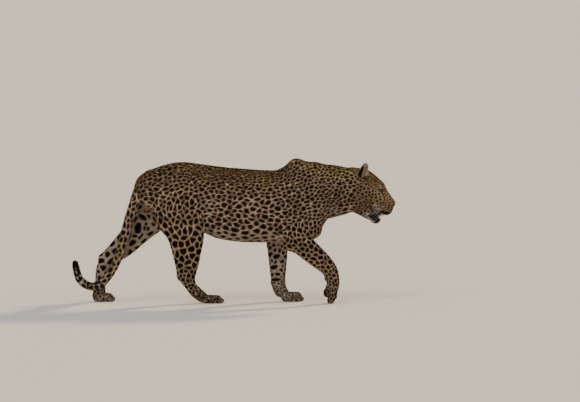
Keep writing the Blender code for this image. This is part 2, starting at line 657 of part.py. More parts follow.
NODES = {  # name: (rough middle in mm, colour)
    "head": ((635, 0, 540), COAT), "jaw_lower": ((640, 0, 415), PALE), "ear_right": ((610, -68, 632), COAT), "ear_left": ((610, 68, 632), COAT),
    "neck": ((480, 0, 535), COAT), "trunk_front": ((245, 0, 520), COAT), "trunk_middle": ((8, 0, 468), COAT), "trunk_rear": ((-270, 0, 540), COAT),
    "upper_foreleg_right": ((322, -88, 360), COAT), "forearm_right": ((418, -91, 200), COAT), "forepaw_right": ((462, -83, 66), COAT),
    "upper_foreleg_left": ((270, 86, 350), COAT), "forearm_left": ((207, 85, 175), COAT), "forepaw_left": ((255, 76, 36), COAT),
    "thigh_right": ((-265, -84, 420), COAT), "shank_right": ((-225, -83, 205), COAT), "hindfoot_right": ((-192, -73, 62), COAT), "hindpaw_right": ((-108, -70, 24), COAT),
    "thigh_left": ((-370, 82, 450), COAT), "shank_left": ((-545, 79, 270), COAT), "hindfoot_left": ((-645, 70, 120), COAT), "hindpaw_left": ((-640, 68, 34), COAT),
    "tail_root": ((-525, -3, 345), COAT), "tail_middle": ((-585, -5, 165), COAT), "tail_bend": ((-705, -9, 90), COAT), "tail_tip": ((-762, -10, 165), COAT)}


def tet_surface(f, lo, h):
    """Closed surface of the field through tetrahedra: every edge of it has exactly two faces."""
    n = np.array(f.shape)
    f = np.where(np.abs(f) < 1e-7, np.float32(1e-7), f)
    inside = f < 0
    some = np.zeros(tuple(n - 1), np.int8)
    for dx in (0, 1):
        for dy in (0, 1):
            for dz in (0, 1):
                some += inside[dx:n[0] - 1 + dx, dy:n[1] - 1 + dy, dz:n[2] - 1 + dz]
    cells = np.argwhere((some > 0) & (some < 8))
    stride = np.array([n[1] * n[2], n[2], 1])
    corner = cells @ stride
    flat = f.reshape(-1)
    tris = []
    paths = [(0, 1, 2), (0, 2, 1), (1, 0, 2), (1, 2, 0), (2, 0, 1), (2, 1, 0)]
    for path in paths:
        ids = [corner]
        for a in path:
            ids.append(ids[-1] + stride[a])
        even = path in ((0, 1, 2), (1, 2, 0), (2, 0, 1))
        t = np.stack(ids, 1)
        if not even:
            t = t[:, [0, 1, 3, 2]]
        v = flat[t] < 0
        code = v[:, 0] + 2 * v[:, 1] + 4 * v[:, 2] + 8 * v[:, 3]
        for one in range(4):
            a, b, c, d = {0: (0, 1, 2, 3), 1: (1, 0, 3, 2), 2: (2, 3, 0, 1), 3: (3, 2, 1, 0)}[one]
            m = code == (1 << one)
            q = t[m]
            tris.append(np.stack([q[:, [a, b]], q[:, [a, c]], q[:, [a, d]]], 1))
            m = code == 15 - (1 << one)
            q = t[m]
            tris.append(np.stack([q[:, [a, b]], q[:, [a, d]], q[:, [a, c]]], 1))
        for a, b, c, d in ((0, 1, 2, 3), (0, 2, 3, 1), (0, 3, 1, 2), (2, 3, 0, 1), (3, 1, 0, 2), (1, 2, 0, 3)):
            m = code == (1 << a) + (1 << b)
            q = t[m]
            ac, ad, bc, bd = q[:, [a, c]], q[:, [a, d]], q[:, [b, c]], q[:, [b, d]]
            tris.append(np.stack([ac, ad, bd], 1))
            tris.append(np.stack([ac, bd, bc], 1))
    e = np.concatenate(tris)
    e = np.sort(e, axis=2)
    key = e[:, :, 0].astype(np.int64) * (int(n.prod()) + 1) + e[:, :, 1]
    used, inverse = np.unique(key, return_inverse=True)
    ea, eb = used // (int(n.prod()) + 1), used % (int(n.prod()) + 1)
    fa, fb = flat[ea], flat[eb]
    w = np.clip(fa / (fa - fb), 0.02, 0.98)
    pa = np.stack(np.unravel_index(ea, tuple(n)), 1)
    pb = np.stack(np.unravel_index(eb, tuple(n)), 1)
    pts = pa + (pb - pa) * w[:, None]
    return pts * h + lo, inverse.reshape(-1, 3)


def whole_body():
    f = flesh()
    lo, hi = f.box()
    lo, hi = lo - 0.012, hi + 0.012
    n = np.ceil((hi - lo) / GRID).astype(int) + 1
    pts, quads = tet_surface(f.on_grid(lo, GRID, n), lo, GRID)
    pts[pts[:, 2] < 0.0004, 2] = 0.0
    ob = mesh_object("whole", pts, quads)
    parts = sorted(islands(ob), key=lambda p: -len(p[0]))
    if len(parts) > 1:
        drop(ob)
        ob = mesh_object("whole", *parts[0])
    m = ob.modifiers.new("d", "DECIMATE")
    m.decimate_type = "COLLAPSE"
    m.ratio = BODY_TRIS / float(len(parts[0][1]))
    settle(ob)
    for v in ob.data.vertices:
        if v.co.z < 0.0008:
            v.co.z = 0.0
    outward(ob)
    return ob


def main():
    clear()
    body = whole_body()
    # pieces set into the body
    eye_axes = []
    for s in (-1, 1):
        eye_axes.append((s, H(EYE[0], s * EYE[1], EYE[2])))
    inset = []
    for s, c in eye_axes:
        side = "left" if s > 0 else "right"
        inset.append((egg("eye_" + side, c, (EYE_R,) * 3, HEAD_AXES, 2), egg("cutter", c, (EYE_R,) * 3, HEAD_AXES, 2, 0.35), ((0.42, 0.33, 0.12, 1), 0.1)))
        inset.append((canine("canine_upper_" + side, s, True, 0), canine("cutter", s, True, 0.35), ((0.9, 0.86, 0.74, 1), 0.3)))
        inset.append((canine("canine_lower_" + side, s, False, 0), canine("cutter", s, False, 0.35), ((0.9, 0.86, 0.74, 1), 0.3)))
    inset.append((tongue("tongue", 0), tongue("cutter", 0.35), ((0.62, 0.28, 0.27, 1), 0.4)))
    inset.append((egg("nose", H(153, 0, 3), (17, 19, 13), HEAD_AXES, 2), egg("cutter", H(153, 0, 3), (17, 19, 13), HEAD_AXES, 2, 0.3), ((0.10, 0.06, 0.05, 1), 0.45)))
    inset.append((egg("scrotum", (-418, 0, 462), (22, 21, 27), np.eye(3), 2), egg("cutter", (-418, 0, 462), (22, 21, 27), np.eye(3), 2, 0.3), ((0.66, 0.5, 0.3, 1), 0.85)))
    for ob, cutter, look in inset:
        boolean(body, cutter, "DIFFERENCE")
        drop(cutter)
        paint(ob, ob.name, *look)
    for corners in plates():
        cutter = sheet(corners)
        boolean(body, cutter, "DIFFERENCE")
        drop(cutter)
    found = []
    for verts, faces in islands(body):
        vol, mid = middle(verts, faces)
        found.append((abs(vol), mid * 1000, verts, faces))
    drop(body)
    found.sort(key=lambda p: -p[0])
    left = dict(NODES)
    for vol, mid, verts, faces in found:
        if not left:
            print("left over", round(vol * 1e9, 1), np.round(mid), len(faces))
            continue
        name = min(left, key=lambda k: float(np.linalg.norm(np.array(left[k][0]) - mid)))
        off = float(np.linalg.norm(np.array(left[name][0]) - mid))
        if vol < 2e-6 or off > 70:
            print("no name for", round(vol * 1e9, 1), "mm3 at", np.round(mid), "nearest", name, round(off))
            continue
        ob = mesh_object(name, verts, faces)
        tidy(ob)
        paint(ob, name, *left.pop(name)[1])
    if left:
        print("missing", sorted(left))
    total = 0
    low, high = np.full(3, 9.0), np.full(3, -9.0)
    for ob in bpy.data.objects:
        total += len(ob.data.polygons)
        ob.data.transform(mathutils.Matrix.Translation(TO_ORIGIN))
        c = np.array([v.co[:] for v in ob.data.vertices])
        low, high = np.minimum(low, c.min(0)), np.maximum(high, c.max(0))
    print("box mm", np.round(low * 1000, 2), np.round(high * 1000, 2))
    print("solids", len(bpy.data.objects), "triangles", total)


main()
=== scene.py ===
import math
import time

import bpy
import numpy as np
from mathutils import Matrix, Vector


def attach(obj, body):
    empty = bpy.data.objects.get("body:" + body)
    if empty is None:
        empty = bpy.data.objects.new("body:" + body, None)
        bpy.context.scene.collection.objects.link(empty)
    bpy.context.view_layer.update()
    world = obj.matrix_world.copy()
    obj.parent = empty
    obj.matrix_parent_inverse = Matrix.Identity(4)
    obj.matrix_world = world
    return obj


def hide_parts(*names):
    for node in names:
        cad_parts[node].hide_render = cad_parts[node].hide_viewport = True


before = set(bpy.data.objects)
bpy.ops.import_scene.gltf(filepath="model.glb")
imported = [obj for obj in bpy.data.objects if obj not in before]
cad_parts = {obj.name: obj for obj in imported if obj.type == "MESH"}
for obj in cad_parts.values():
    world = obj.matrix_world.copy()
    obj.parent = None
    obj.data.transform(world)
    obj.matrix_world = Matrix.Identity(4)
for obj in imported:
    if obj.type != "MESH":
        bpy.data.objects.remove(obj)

START = time.time()
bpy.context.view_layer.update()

FAR = 0.05


def smin(a, b, k):
    h = np.clip(0.5 + 0.5 * (b - a) / k, 0.0, 1.0)
    return b + (a - b) * h - k * h * (1.0 - h)


def smax(a, b, k):
    return -smin(-a, -b, k)


def unit(v):
    v = np.asarray(v, float)
    return v / max(np.linalg.norm(v), 1e-12)


class Ball:
    """Ellipsoid, or a sphere, with its own axes."""

    def __init__(self, centre, radii, axes=None):
        self.c = np.asarray(centre, float) * 0.001
        r = np.asarray(radii, float) * 0.001
        self.r = np.full(3, float(r)) if r.ndim == 0 else r
        self.axes = np.eye(3) if axes is None else np.asarray(axes, float)
        reach = np.sqrt(((self.axes * self.r[:, None]) ** 2).sum(0))
        self.lo, self.hi = self.c - reach, self.c + reach

    def dist(self, p):
        q = p - self.c.astype(np.float32)
        a = self.axes.astype(np.float32)
        u = [q[:, 0] * a[i, 0] + q[:, 1] * a[i, 1] + q[:, 2] * a[i, 2] for i in range(3)]
        k0 = np.sqrt(sum((u[i] / np.float32(self.r[i])) ** 2 for i in range(3)))
        k1 = np.sqrt(sum((u[i] / np.float32(self.r[i] ** 2)) ** 2 for i in range(3)))
        return np.where(k0 < 1e-6, np.float32(-self.r.min()), k0 * (k0 - 1.0) / np.maximum(k1, 1e-6))


class Rod:
    """Tapered rod with round ends. flat = (direction, factor) widens it along one direction."""

    def __init__(self, a, b, ra, rb, flat=None):
        self.a, self.b = np.asarray(a, float) * 0.001, np.asarray(b, float) * 0.001
        self.ra, self.rb = ra * 0.001, rb * 0.001
        self.flat = None
        grow = 1.0
        if flat is not None:
            self.flat = (unit(flat[0]), float(flat[1]))
            grow = max(1.0, flat[1])
        self.lo = np.minimum(self.a - self.ra * grow, self.b - self.rb * grow)
        self.hi = np.maximum(self.a + self.ra * grow, self.b + self.rb * grow)

    def dist(self, p):
        a, ba = self.a.astype(np.float32), (self.b - self.a).astype(np.float32)
        q = p - a
        t = np.clip((q[:, 0] * ba[0] + q[:, 1] * ba[1] + q[:, 2] * ba[2]) / np.float32((ba ** 2).sum()), 0, 1)
        q = q - t[:, None] * ba
        if self.flat is not None:
            n, s = self.flat[0].astype(np.float32), np.float32(self.flat[1])
            along = q[:, 0] * n[0] + q[:, 1] * n[1] + q[:, 2] * n[2]
            q = q - ((1 - 1 / s) * along)[:, None] * n
        length = np.sqrt((q ** 2).sum(1))
        return length - (np.float32(self.ra) + np.float32(self.rb - self.ra) * t)


def smooth_rows(rows, steps):
    """Catmull-Rom through the rows of a table."""
    rows = np.asarray(rows, float)
    p = np.vstack([2 * rows[0] - rows[1], rows, 2 * rows[-1] - rows[-2]])
    out = []
    for i in range(1, len(p) - 2):
        for s in range(steps):
            t = s / steps
            a, b, c, d = p[i - 1], p[i], p[i + 1], p[i + 2]
            out.append(0.5 * (2 * b + (c - a) * t + (2 * a - 5 * b + 4 * c - d) * t * t + (3 * b - a - 3 * c + d) * t ** 3))
    out.append(p[-2])
    return np.array(out)


class Chain:
    """Body length through stations (x, y, z, up, down, side) in mm. Up is the radius towards tangent x side."""

    def __init__(self, stations, steps=6, power=2.0, side=(0, 1, 0), caps=(0.6, 0.6)):
        s = smooth_rows(stations, steps)
        s[:, 3:] = np.maximum(s[:, 3:], 1.0)
        self.s = s * 0.001
        self.power = power
        self.caps = caps
        c = self.s[:, :3]
        t = np.gradient(c, axis=0)
        t /= np.linalg.norm(t, axis=1)[:, None]
        b = np.asarray(side, float)[None] - t * (t @ np.asarray(side, float))[:, None]
        b /= np.linalg.norm(b, axis=1)[:, None]
        self.t, self.b, self.n = t, b, np.cross(t, b)
        r = self.s[:, 3:].max(1)
        self.lo, self.hi = (c - r[:, None]).min(0), (c + r[:, None]).max(0)

    def dist(self, p, want=False):
        n = len(p)
        best = np.full(n, 1e9, np.float32)
        seg = np.zeros(n, np.int32)
        at = np.zeros(n, np.float32)
        c = self.s[:, :3].astype(np.float32)
        for i in range(len(c) - 1):
            ba = c[i + 1] - c[i]
            q0, q1, q2 = p[:, 0] - c[i, 0], p[:, 1] - c[i, 1], p[:, 2] - c[i, 2]
            t = np.clip((q0 * ba[0] + q1 * ba[1] + q2 * ba[2]) / (ba ** 2).sum(), 0, 1)
            d = (q0 - t * ba[0]) ** 2 + (q1 - t * ba[1]) ** 2 + (q2 - t * ba[2]) ** 2
            m = d < best
            best[m] = d[m]
            seg[m] = i
            at[m] = t[m]
        f = lambda table: (table.astype(np.float32)[seg] * (1 - at)[:, None] + table.astype(np.float32)[seg + 1] * at[:, None])
        q = p - f(c)
        tt, bb, nn = f(self.t), f(self.b), f(self.n)
        r = f(self.s[:, 3:])
        u, v, w = (q * nn).sum(1), (q * bb).sum(1), (q * tt).sum(1)
        ru = np.where(u > 0, r[:, 0], r[:, 1])
        rs = r[:, 2]
        small = np.minimum(np.minimum(r[:, 0], r[:, 1]), rs)
        rw = np.where(w > 0, self.caps[1], self.caps[0]).astype(np.float32) * np.minimum(0.5 * (r[:, 0] + r[:, 1]), rs)
        k = np.float32(self.power)
        ratio = (np.abs(u / ru) ** k + np.abs(v / rs) ** k + np.abs(w / rw) ** k) ** (1 / k)
        length = np.sqrt(u * u + v * v + w * w)
        d = np.where(ratio < 1e-4, -small, length * (1 - 1 / np.maximum(ratio, 1e-4)))
        # inside, the ray length overstates the depth of a flat shape
        d = np.maximum(d, -small)
        if want:
            return d, tt, seg + at
        return d


class Field:
    """Shapes joined and cut one after another, with soft joins."""

    def __init__(self):
        self.ops = []
        self.floor = None

    def add(self, shape, k=12.0, name=""):
        self.ops.append(("add", shape, k * 0.001, name))

    def cut(self, shape, k=6.0, name=""):
        self.ops.append(("cut", shape, k * 0.001, name))

    def both(self, make, k=12.0, op="add", name=""):
        for s in (-1, 1):
            (self.add if op == "add" else self.cut)(make(s), k, name)

    def box(self):
        adds = [s for o, s, k, n in self.ops if o == "add"]
        return np.min([s.lo for s in adds], 0), np.max([s.hi for s in adds], 0)

    def on_grid(self, lo, h, n, margin=0.03):
        xs = [np.float32(lo[i]) + np.float32(h) * np.arange(n[i], dtype=np.float32) for i in range(3)]
        f = np.full(n, FAR, np.float32)
        for op, shape, k, name in self.ops:
            a = np.maximum(np.floor((shape.lo - margin - lo) / h).astype(int), 0)
            b = np.minimum(np.ceil((shape.hi + margin - lo) / h).astype(int) + 1, n)
            if (b <= a).any():
                continue
            g = np.stack(np.meshgrid(*[xs[i][a[i]:b[i]] for i in range(3)], indexing="ij"), -1).reshape(-1, 3)
            d = shape.dist(g).reshape(b - a).astype(np.float32)
            s = tuple(slice(a[i], b[i]) for i in range(3))
            f[s] = smin(f[s], d, np.float32(k)) if op == "add" else smax(f[s], -d, np.float32(k))
        if self.floor is not None:
            f = np.maximum(f, np.float32(self.floor) - xs[2][None, None, :])
        return f

    def at(self, p, margin=0.03):
        p = np.asarray(p, np.float32)
        f = np.full(len(p), FAR, np.float32)
        for op, shape, k, name in self.ops:
            m = ((p > shape.lo - margin) & (p < shape.hi + margin)).all(1)
            if not m.any():
                continue
            i = np.flatnonzero(m)
            d = shape.dist(p[i])
            f[i] = smin(f[i], d, np.float32(k)) if op == "add" else smax(f[i], -d, np.float32(k))
        if self.floor is not None:
            f = np.maximum(f, np.float32(self.floor) - p[:, 2])
        return f

    def slope(self, p, e=0.0008):
        p = np.asarray(p, np.float32)
        g = np.stack([self.at(p + np.eye(3, dtype=np.float32)[i] * e) - self.at(p - np.eye(3, dtype=np.float32)[i] * e) for i in range(3)], 1) / (2 * e)
        return g


def surface(f, lo, h):
    """Surface nets: one point for each cell that the surface crosses, one quad for each crossed edge."""
    n = np.array(f.shape)
    inside = f < 0
    cells = n - 1
    total = np.zeros((3,) + tuple(cells), np.float32)
    count = np.zeros(tuple(cells), np.float32)
    quads = []
    for axis in range(3):
        a = [slice(None)] * 3
        b = [slice(None)] * 3
        a[axis], b[axis] = slice(0, -1), slice(1, None)
        fa, fb = f[tuple(a)], f[tuple(b)]
        crossed = inside[tuple(a)] != inside[tuple(b)]
        idx = np.argwhere(crossed)
        va, vb = fa[crossed], fb[crossed]
        t = va / (va - vb)
        point = idx.astype(np.float32)
        point[:, axis] += t
        others = [i for i in range(3) if i != axis]
        ring = []
        for da, db in ((0, 0), (1, 0), (1, 1), (0, 1)):
            c = idx.copy()
            c[:, others[0]] -= da
            c[:, others[1]] -= db
            ok = (c >= 0).all(1) & (c < cells).all(1)
            flat = np.ravel_multi_index(c[ok].T, tuple(cells))
            for i in range(3):
                np.add.at(total[i].reshape(-1), flat, point[ok, i])
            np.add.at(count.reshape(-1), flat, 1)
            ring.append(np.ravel_multi_index(np.clip(c, 0, cells - 1).T, tuple(cells)))
        ring = np.stack(ring, 1)
        flip = inside[tuple(a)][crossed]
        if axis == 1:
            flip = ~flip
        ring[~flip] = ring[~flip][:, ::-1]
        quads.append(ring)
    quads = np.concatenate(quads)
    used, inverse = np.unique(quads, return_inverse=True)
    c = count.reshape(-1)[used]
    pts = np.stack([total[i].reshape(-1)[used] / c for i in range(3)], 1)
    pts = pts * np.float32(h) + np.asarray(lo, np.float32)
    return pts, inverse.reshape(quads.shape)


# Head frame: forward along the palate, side, up
HEAD_AT = (624.0, 0.0, 549.6)
HEAD_PITCH = 30.0
_c, _s = math.cos(math.radians(HEAD_PITCH)), math.sin(math.radians(HEAD_PITCH))
HF, HS, HU = np.array([_c, 0, -_s]), np.array([0, 1.0, 0]), np.array([_s, 0, _c])
HEAD_AXES = np.stack([HF, HS, HU])
EYE = (56.0, 37.0, 40.0)
EYE_R = 15.5


def H(f, s, u):
    return np.array(HEAD_AT) + f * HF + s * HS + u * HU


def eye_look(s):
    return unit(0.84 * HF + s * 0.53 * HS + 0.06 * HU)


def hball(f, s, u, r):
    return Ball(H(f, s, u), r, HEAD_AXES)


def hrod(a, b, ra, rb, flat=None):
    if flat is not None:
        flat = (flat[0][0] * HF + flat[0][1] * HS + flat[0][2] * HU, flat[1])
    return Rod(H(*a), H(*b), ra, rb, flat)


TRUNK = [
    (-438, 0, 548, 46, 56, 64), (-421, 0, 552, 70, 68, 76), (-390, 0, 546, 103, 86, 88), (-333, 0, 532, 141, 122, 98),
    (-264, 0, 520, 158, 148, 102), (-177, 0, 510, 158, 158, 102), (-91, 0, 495, 162, 177, 105), (-34, 0, 482, 170, 184, 111),
    (24, 0, 472, 174, 183, 117), (90, 0, 468, 173, 182, 120), (154, 0, 468, 170, 182, 118), (215, 0, 470, 168, 180, 112),
    (280, 0, 478, 168, 178, 104), (340, 0, 490, 160, 166, 94), (385, 0, 500, 140, 140, 78), (405, 0, 502, 120, 118, 62)]
NECK = [
    (290, 0, 535, 142, 140, 88), (370, 0, 533, 146, 138, 88), (430, 0, 532, 136, 134, 86), (480, 0, 535, 128, 126, 83),
    (526, 0, 537, 118, 116, 80), (565, 0, 540, 108, 104, 76)]
NEAR_FORE = [
    (280, -94, 322, 62, 58, 38), (338, -95, 268, 58, 54, 39), (395, -92, 220, 50, 50, 36), (434, -90, 184, 44, 43, 33),
    (459, -87, 150, 38, 38, 31), (470, -84, 106, 33, 32, 31), (464, -82, 68, 33, 33, 35), (458, -81, 40, 31, 32, 38)]
FAR_FORE = [
    (214, 84, 344, 50, 46, 28), (204, 91, 272, 54, 51, 39), (205, 88, 190, 46, 45, 34), (207, 82, 112, 37, 37, 31),
    (211, 78, 74, 35, 35, 33), (222, 75, 44, 34, 32, 36)]
NEAR_HIND = [
    (-322, -46, 560, 80, 76, 34), (-285, -70, 482, 118, 110, 46), (-258, -82, 402, 117, 114, 47), (-238, -86, 348, 98, 94, 44),
    (-227, -86, 301, 81, 78, 39), (-223, -84, 240, 64, 59, 34), (-221, -82, 207, 55, 56, 31), (-225, -80, 165, 47, 48, 28),
    (-229, -77, 128, 43, 42, 26), (-211, -74, 84, 29, 30, 26), (-185, -72, 52, 31, 30, 30), (-160, -70, 32, 28, 27, 34)]
FAR_HIND = [
    (-335, 46, 556, 78, 78, 34), (-375, 72, 468, 104, 98, 46), (-425, 84, 402, 92, 84, 45), (-482, 82, 332, 73, 62, 40),
    (-541, 78, 271, 63, 43, 33), (-590, 75, 230, 51, 31, 29), (-626, 72, 192, 37, 31, 26), (-643, 70, 148, 29, 29, 25),
    (-648, 69, 100, 27, 27, 26), (-653, 68, 62, 31, 31, 31), (-651, 68, 36, 30, 34, 34)]
TAIL = [
    (-440, 0, 578, 26, 26, 26), (-463, 0, 532, 30, 30, 30), (-485, -1, 468, 28, 28, 28), (-509, -2, 396, 27, 27, 27),
    (-528, -3, 324, 26, 26, 26), (-547, -4, 262, 24.5, 24.5, 24.5), (-566, -5, 204, 23.5, 23.5, 23.5), (-593, -6, 151, 22.5, 22.5, 22.5),
    (-629, -7, 103, 22, 22, 22), (-667, -8, 79, 22, 22, 22), (-708, -9, 82, 21.5, 21.5, 21.5), (-744, -10, 110, 21, 21, 21),
    (-761, -10, 156, 20, 20, 20), (-767, -10, 190, 17, 17, 17)]


def paw(f, at, yaw, spread, knuckle, tip, sole, hind=False):
    """A flat foot: four toes with knuckles and tips, and the main pad. at = middle of the toe roots."""
    ca, sa = math.cos(math.radians(yaw)), math.sin(math.radians(yaw))

    def P(x, y, z):
        return (at[0] + x * ca - y * sa, at[1] + x * sa + y * ca, z)

    for i, y in enumerate((-1.5, -0.52, 0.52, 1.5)):
        lead = 0 if abs(y) > 1 else 9
        y *= spread
        f.add(Rod(P(-8 + lead, y * 0.82, sole + knuckle[2] - 6), P(knuckle[0] + lead, y, sole + knuckle[2]), knuckle[1], knuckle[1]), 7, "toe")
        f.add(Rod(P(knuckle[0] + lead, y, sole + knuckle[2]), P(tip[0] + lead, y * 1.04, sole + tip[2]), knuckle[1] - 1, tip[1]), 5, "toe")
        f.add(Ball(P(tip[0] + lead - 8, y, sole + 8), (13, 9.5, 8)), 4, "toe pad")
    f.add(Ball(P(-10, 0, sole + 14), (27, spread * 1.35, 14)), 8, "pad")
    f.add(Ball(P(-6, 0, sole + knuckle[2] - 1), (38, spread * 1.75, 21)), 18, "instep")


def flesh():
    f = Field()
    f.add(Chain(TRUNK, 4, 2.15), 1, "trunk")
    f.add(Chain(NECK, 4, 2.1), 45, "neck")
    f.add(Ball((376, 0, 400), (52, 66, 82)), 30, "breast")
    f.add(Rod((300, 0, 318), (370, 0, 345), 36, 40), 30, "breast")
    # shoulders
    for s, x0, top, x1, z1 in ((-1, 284, 676, 368, 405), (1, 296, 681, 350, 400)):
        blade = unit((x0 - x1, 0, 660 - z1))
        ax = np.stack([blade, np.cross((0, 1, 0), blade), (0, 1, 0)])
        f.add(Ball(((x0 + x1) / 2 - 6, s * 64, (top + z1) / 2 + 6), (148, 70, 34), ax), 40, "blade")
        f.add(Rod((x0 + 4, s * 34, 646), (x0 - 40, s * 30, 622), 34, 28, ((1, 0, 0), 1.3)), 34, "blade")
        f.add(Ball((x1 - 6, s * 80, z1 + 4), (64, 38, 76)), 40, "shoulder")
    f.add(Ball((290, -83, 356), (78, 36, 90)), 42, "triceps")
    f.add(Ball((256, 81, 358), (82, 36, 92)), 42, "triceps")
    f.add(Rod((360, -82, 385), (288, -90, 302), 46, 46), 36, "arm")
    f.add(Rod((330, 80, 385), (218, 88, 305), 46, 46), 36, "arm")
    f.add(Ball((262, -95, 286), (26, 24, 34)), 18, "elbow")
    f.add(Ball((174, 91, 292), (24, 24, 34)), 18, "elbow")
    # hips and thighs
    f.add(Ball((-420, 0, 578), (48, 46, 42)), 28, "croup")
    for s in (-1, 1):
        f.add(Ball((-312, s * 46, 592), (104, 46, 66)), 40, "hip")
        f.add(Ball((-402, s * 46, 545), (62, 42, 88)), 30, "buttock")
    f.add(Ball((-262, -76, 470), (104, 44, 112)), 36, "thigh")
    f.add(Ball((-318, 74, 462), (104, 44, 112)), 36, "thigh")
    f.add(Rod((-190, -66, 412), (-110, -56, 372), 34, 18), 44, "fold")
    f.add(Rod((-300, 66, 430), (-200, 56, 388), 34, 18), 44, "fold")
    f.add(Ball((-180, -88, 384), (40, 30, 46)), 24, "knee")
    f.add(Ball((-396, 86, 376), (46, 30, 46)), 24, "knee")
    # limbs
    legs = Field()
    for st in (NEAR_FORE, FAR_FORE, NEAR_HIND, FAR_HIND):
        f.add(Chain(st, 5, 2.1), 22, "limb")
    f.add(Ball((-262, -77, 128), (17, 15, 22)), 12, "hock")
    f.add(Ball((-641, 72, 206), (17, 15, 20)), 12, "hock")
    f.add(Rod((-300, -80, 330), (-264, -77, 140), 26, 12), 22, "tendon")
    f.add(Rod((-536, 80, 318), (-640, 72, 214), 22, 11), 24, "tendon")
    f.add(Ball((437, -84, 122), (12, 14, 16)), 9, "wrist pad")
    f.add(Ball((180, 80, 92), (11, 14, 15)), 9, "wrist pad")
    # feet on the ground
    paw(f, (262, 74), -2, 19.5, (30, 18.5, 30), (46, 14.5, 15), -2)
    paw(f, (-122, -70), 2, 17.5, (30, 16.5, 25), (50, 13, 14), -2)
    paw(f, (-642, 68), -3, 17.5, (28, 16.5, 27), (44, 13.5, 15), -2)
    # near forefoot, hanging, toe tips on the ground
    for y in (-1.5, -0.52, 0.52, 1.5):
        low = 0 if abs(y) > 1 else 1
        y *= 19.0
        f.add(Rod((462, -81 + y * 0.85, 62), (472, -81 + y, 34), 19, 18), 8, "toe")
        f.add(Rod((472, -81 + y, 34), (462, -81 + y * 1.03, 12), 17.5, 14), 5, "toe")
        f.add(Ball((448, -81 + y, 15), (9, 9.5, 13)), 4, "toe pad")
    f.add(Ball((436, -81, 50), (15, 26, 22)), 8, "pad")
    # tail and what hangs below it
    f.add(Chain(TAIL, 5, 2.0), 26, "tail")
    f.add(Ball((-360, 0, 398), (30, 20, 26)), 24, "sheath")
    # head
    f.add(hball(-20, 0, 18, (88, 67, 66)), 30, "cranium")
    f.add(hball(36, 0, 30, (56, 56, 42)), 18, "brow")
    f.both(lambda s: hball(10, s * 50, -8, (62, 38, 52)), 20, name="cheek")
    f.both(lambda s: hball(0, s * 44, -60, (58, 38, 54)), 22, name="masseter")
    f.both(lambda s: hball(64, s * 33, -4, (48, 26, 38)), 16, name="cheek")
    f.add(hrod((56, 0, 34), (140, 0, 1), 28, 22, ((0, 1, 0), 1.3)), 14, "bridge")
    f.add(hrod((74, 0, -8), (134, 0, -26), 42, 34, ((0, 1, 0), 1.12)), 16, "snout")
    f.both(lambda s: hball(130, s * 25, -35, (39, 28, 34)), 12, name="pad")
    f.both(lambda s: hball(96, s * 33, -44, (44, 22, 31)), 14, name="lip")
    f.add(hball(146, 0, 2, (19, 21, 17)), 8, "nose")
    f.add(hrod((20, 0, -90), (116, 0, -101), 40, 23, ((0, 1, 0), 1.25)), 16, "jaw")
    f.add(hball(122, 0, -103, (23, 28, 22)), 12, "chin")
    f.cut(hrod((84, 0, -85), (180, 0, -74), 3.0, 16.0, ((0, 1, 0), 14)), 4, "mouth")
    f.both(lambda s: hball(48, s * 30, 54, (26, 21, 12)), 18, name="brow")
    for s in (-1, 1):
        look = eye_look(s)
        across = unit(np.cross(HU, look))
        ax = np.stack([look, across, np.cross(look, across)])
        f.cut(Ball(H(EYE[0], s * EYE[1], EYE[2]) + look * 14, (12, 19, 15), ax), 12, "socket")
        f.add(Ball(H(EYE[0], s * EYE[1], EYE[2]), (17.2, 17.2, 16.4), ax), 6, "lids")
        f.cut(Ball(H(EYE[0], s * EYE[1], EYE[2]) + look * 16.5, (5.5, 11.5, 7.5), ax), 3, "lids")
    for s in (-1, 1):
        up = unit(-17 * HF + s * 14 * HS + 57 * HU)
        nrm = 0.94 * HF + s * 0.34 * HS + 0.1 * HU
        nrm = unit(nrm - up * (nrm @ up))
        wide = np.cross(up, nrm)
        ax = np.stack([up, wide, nrm])
        c = H(-43, s * 66, 66)
        f.add(Ball(c, (41, 32, 17), ax), 14, "ear")
        f.add(Rod(H(-36, s * 52, 36), H(-42, s * 60, 56), 28, 22), 14, "ear")
        f.cut(Ball(c + nrm * 15 + up * 2, (31, 23, 15), ax), 4, "ear")
    f.floor = 0.0
    return f


# ---------------------------------------------------------------- small tools

TO_ORIGIN = np.array((0.00519, 0.00222, 0.0))
rng = np.random.default_rng(11)


def say(*words):
    print("[%5.1f s]" % (time.time() - START), *words)


def ramp(v, a, b):
    t = np.clip((np.asarray(v, np.float32) - a) / (b - a), 0, 1)
    return t * t * (3 - 2 * t)


def mix(a, b, t):
    return a + (b - a) * t


def rows_unit(v):
    return v / np.maximum(np.linalg.norm(v, axis=1), 1e-9)[:, None]


def head_place(p):
    q = np.asarray(p, np.float32) * 1000 - np.array(HEAD_AT, np.float32)
    return q @ HF.astype(np.float32), q @ HS.astype(np.float32), q @ HU.astype(np.float32)


WAVES = [(rng.normal(size=3), rng.uniform(0, 6.28)) for i in range(24)]


def waver(p, size, first=0, count=6):
    """Soft pseudo-random number of place, about -1 to 1. size = typical size of its lumps in mm."""
    out = np.zeros(len(p), np.float32)
    for k, phase in WAVES[first:first + count]:
        out += np.sin((p @ k.astype(np.float32)) * np.float32(1000 * 2.2 / size) + np.float32(phase))
    return out / math.sqrt(count / 2) * 0.6


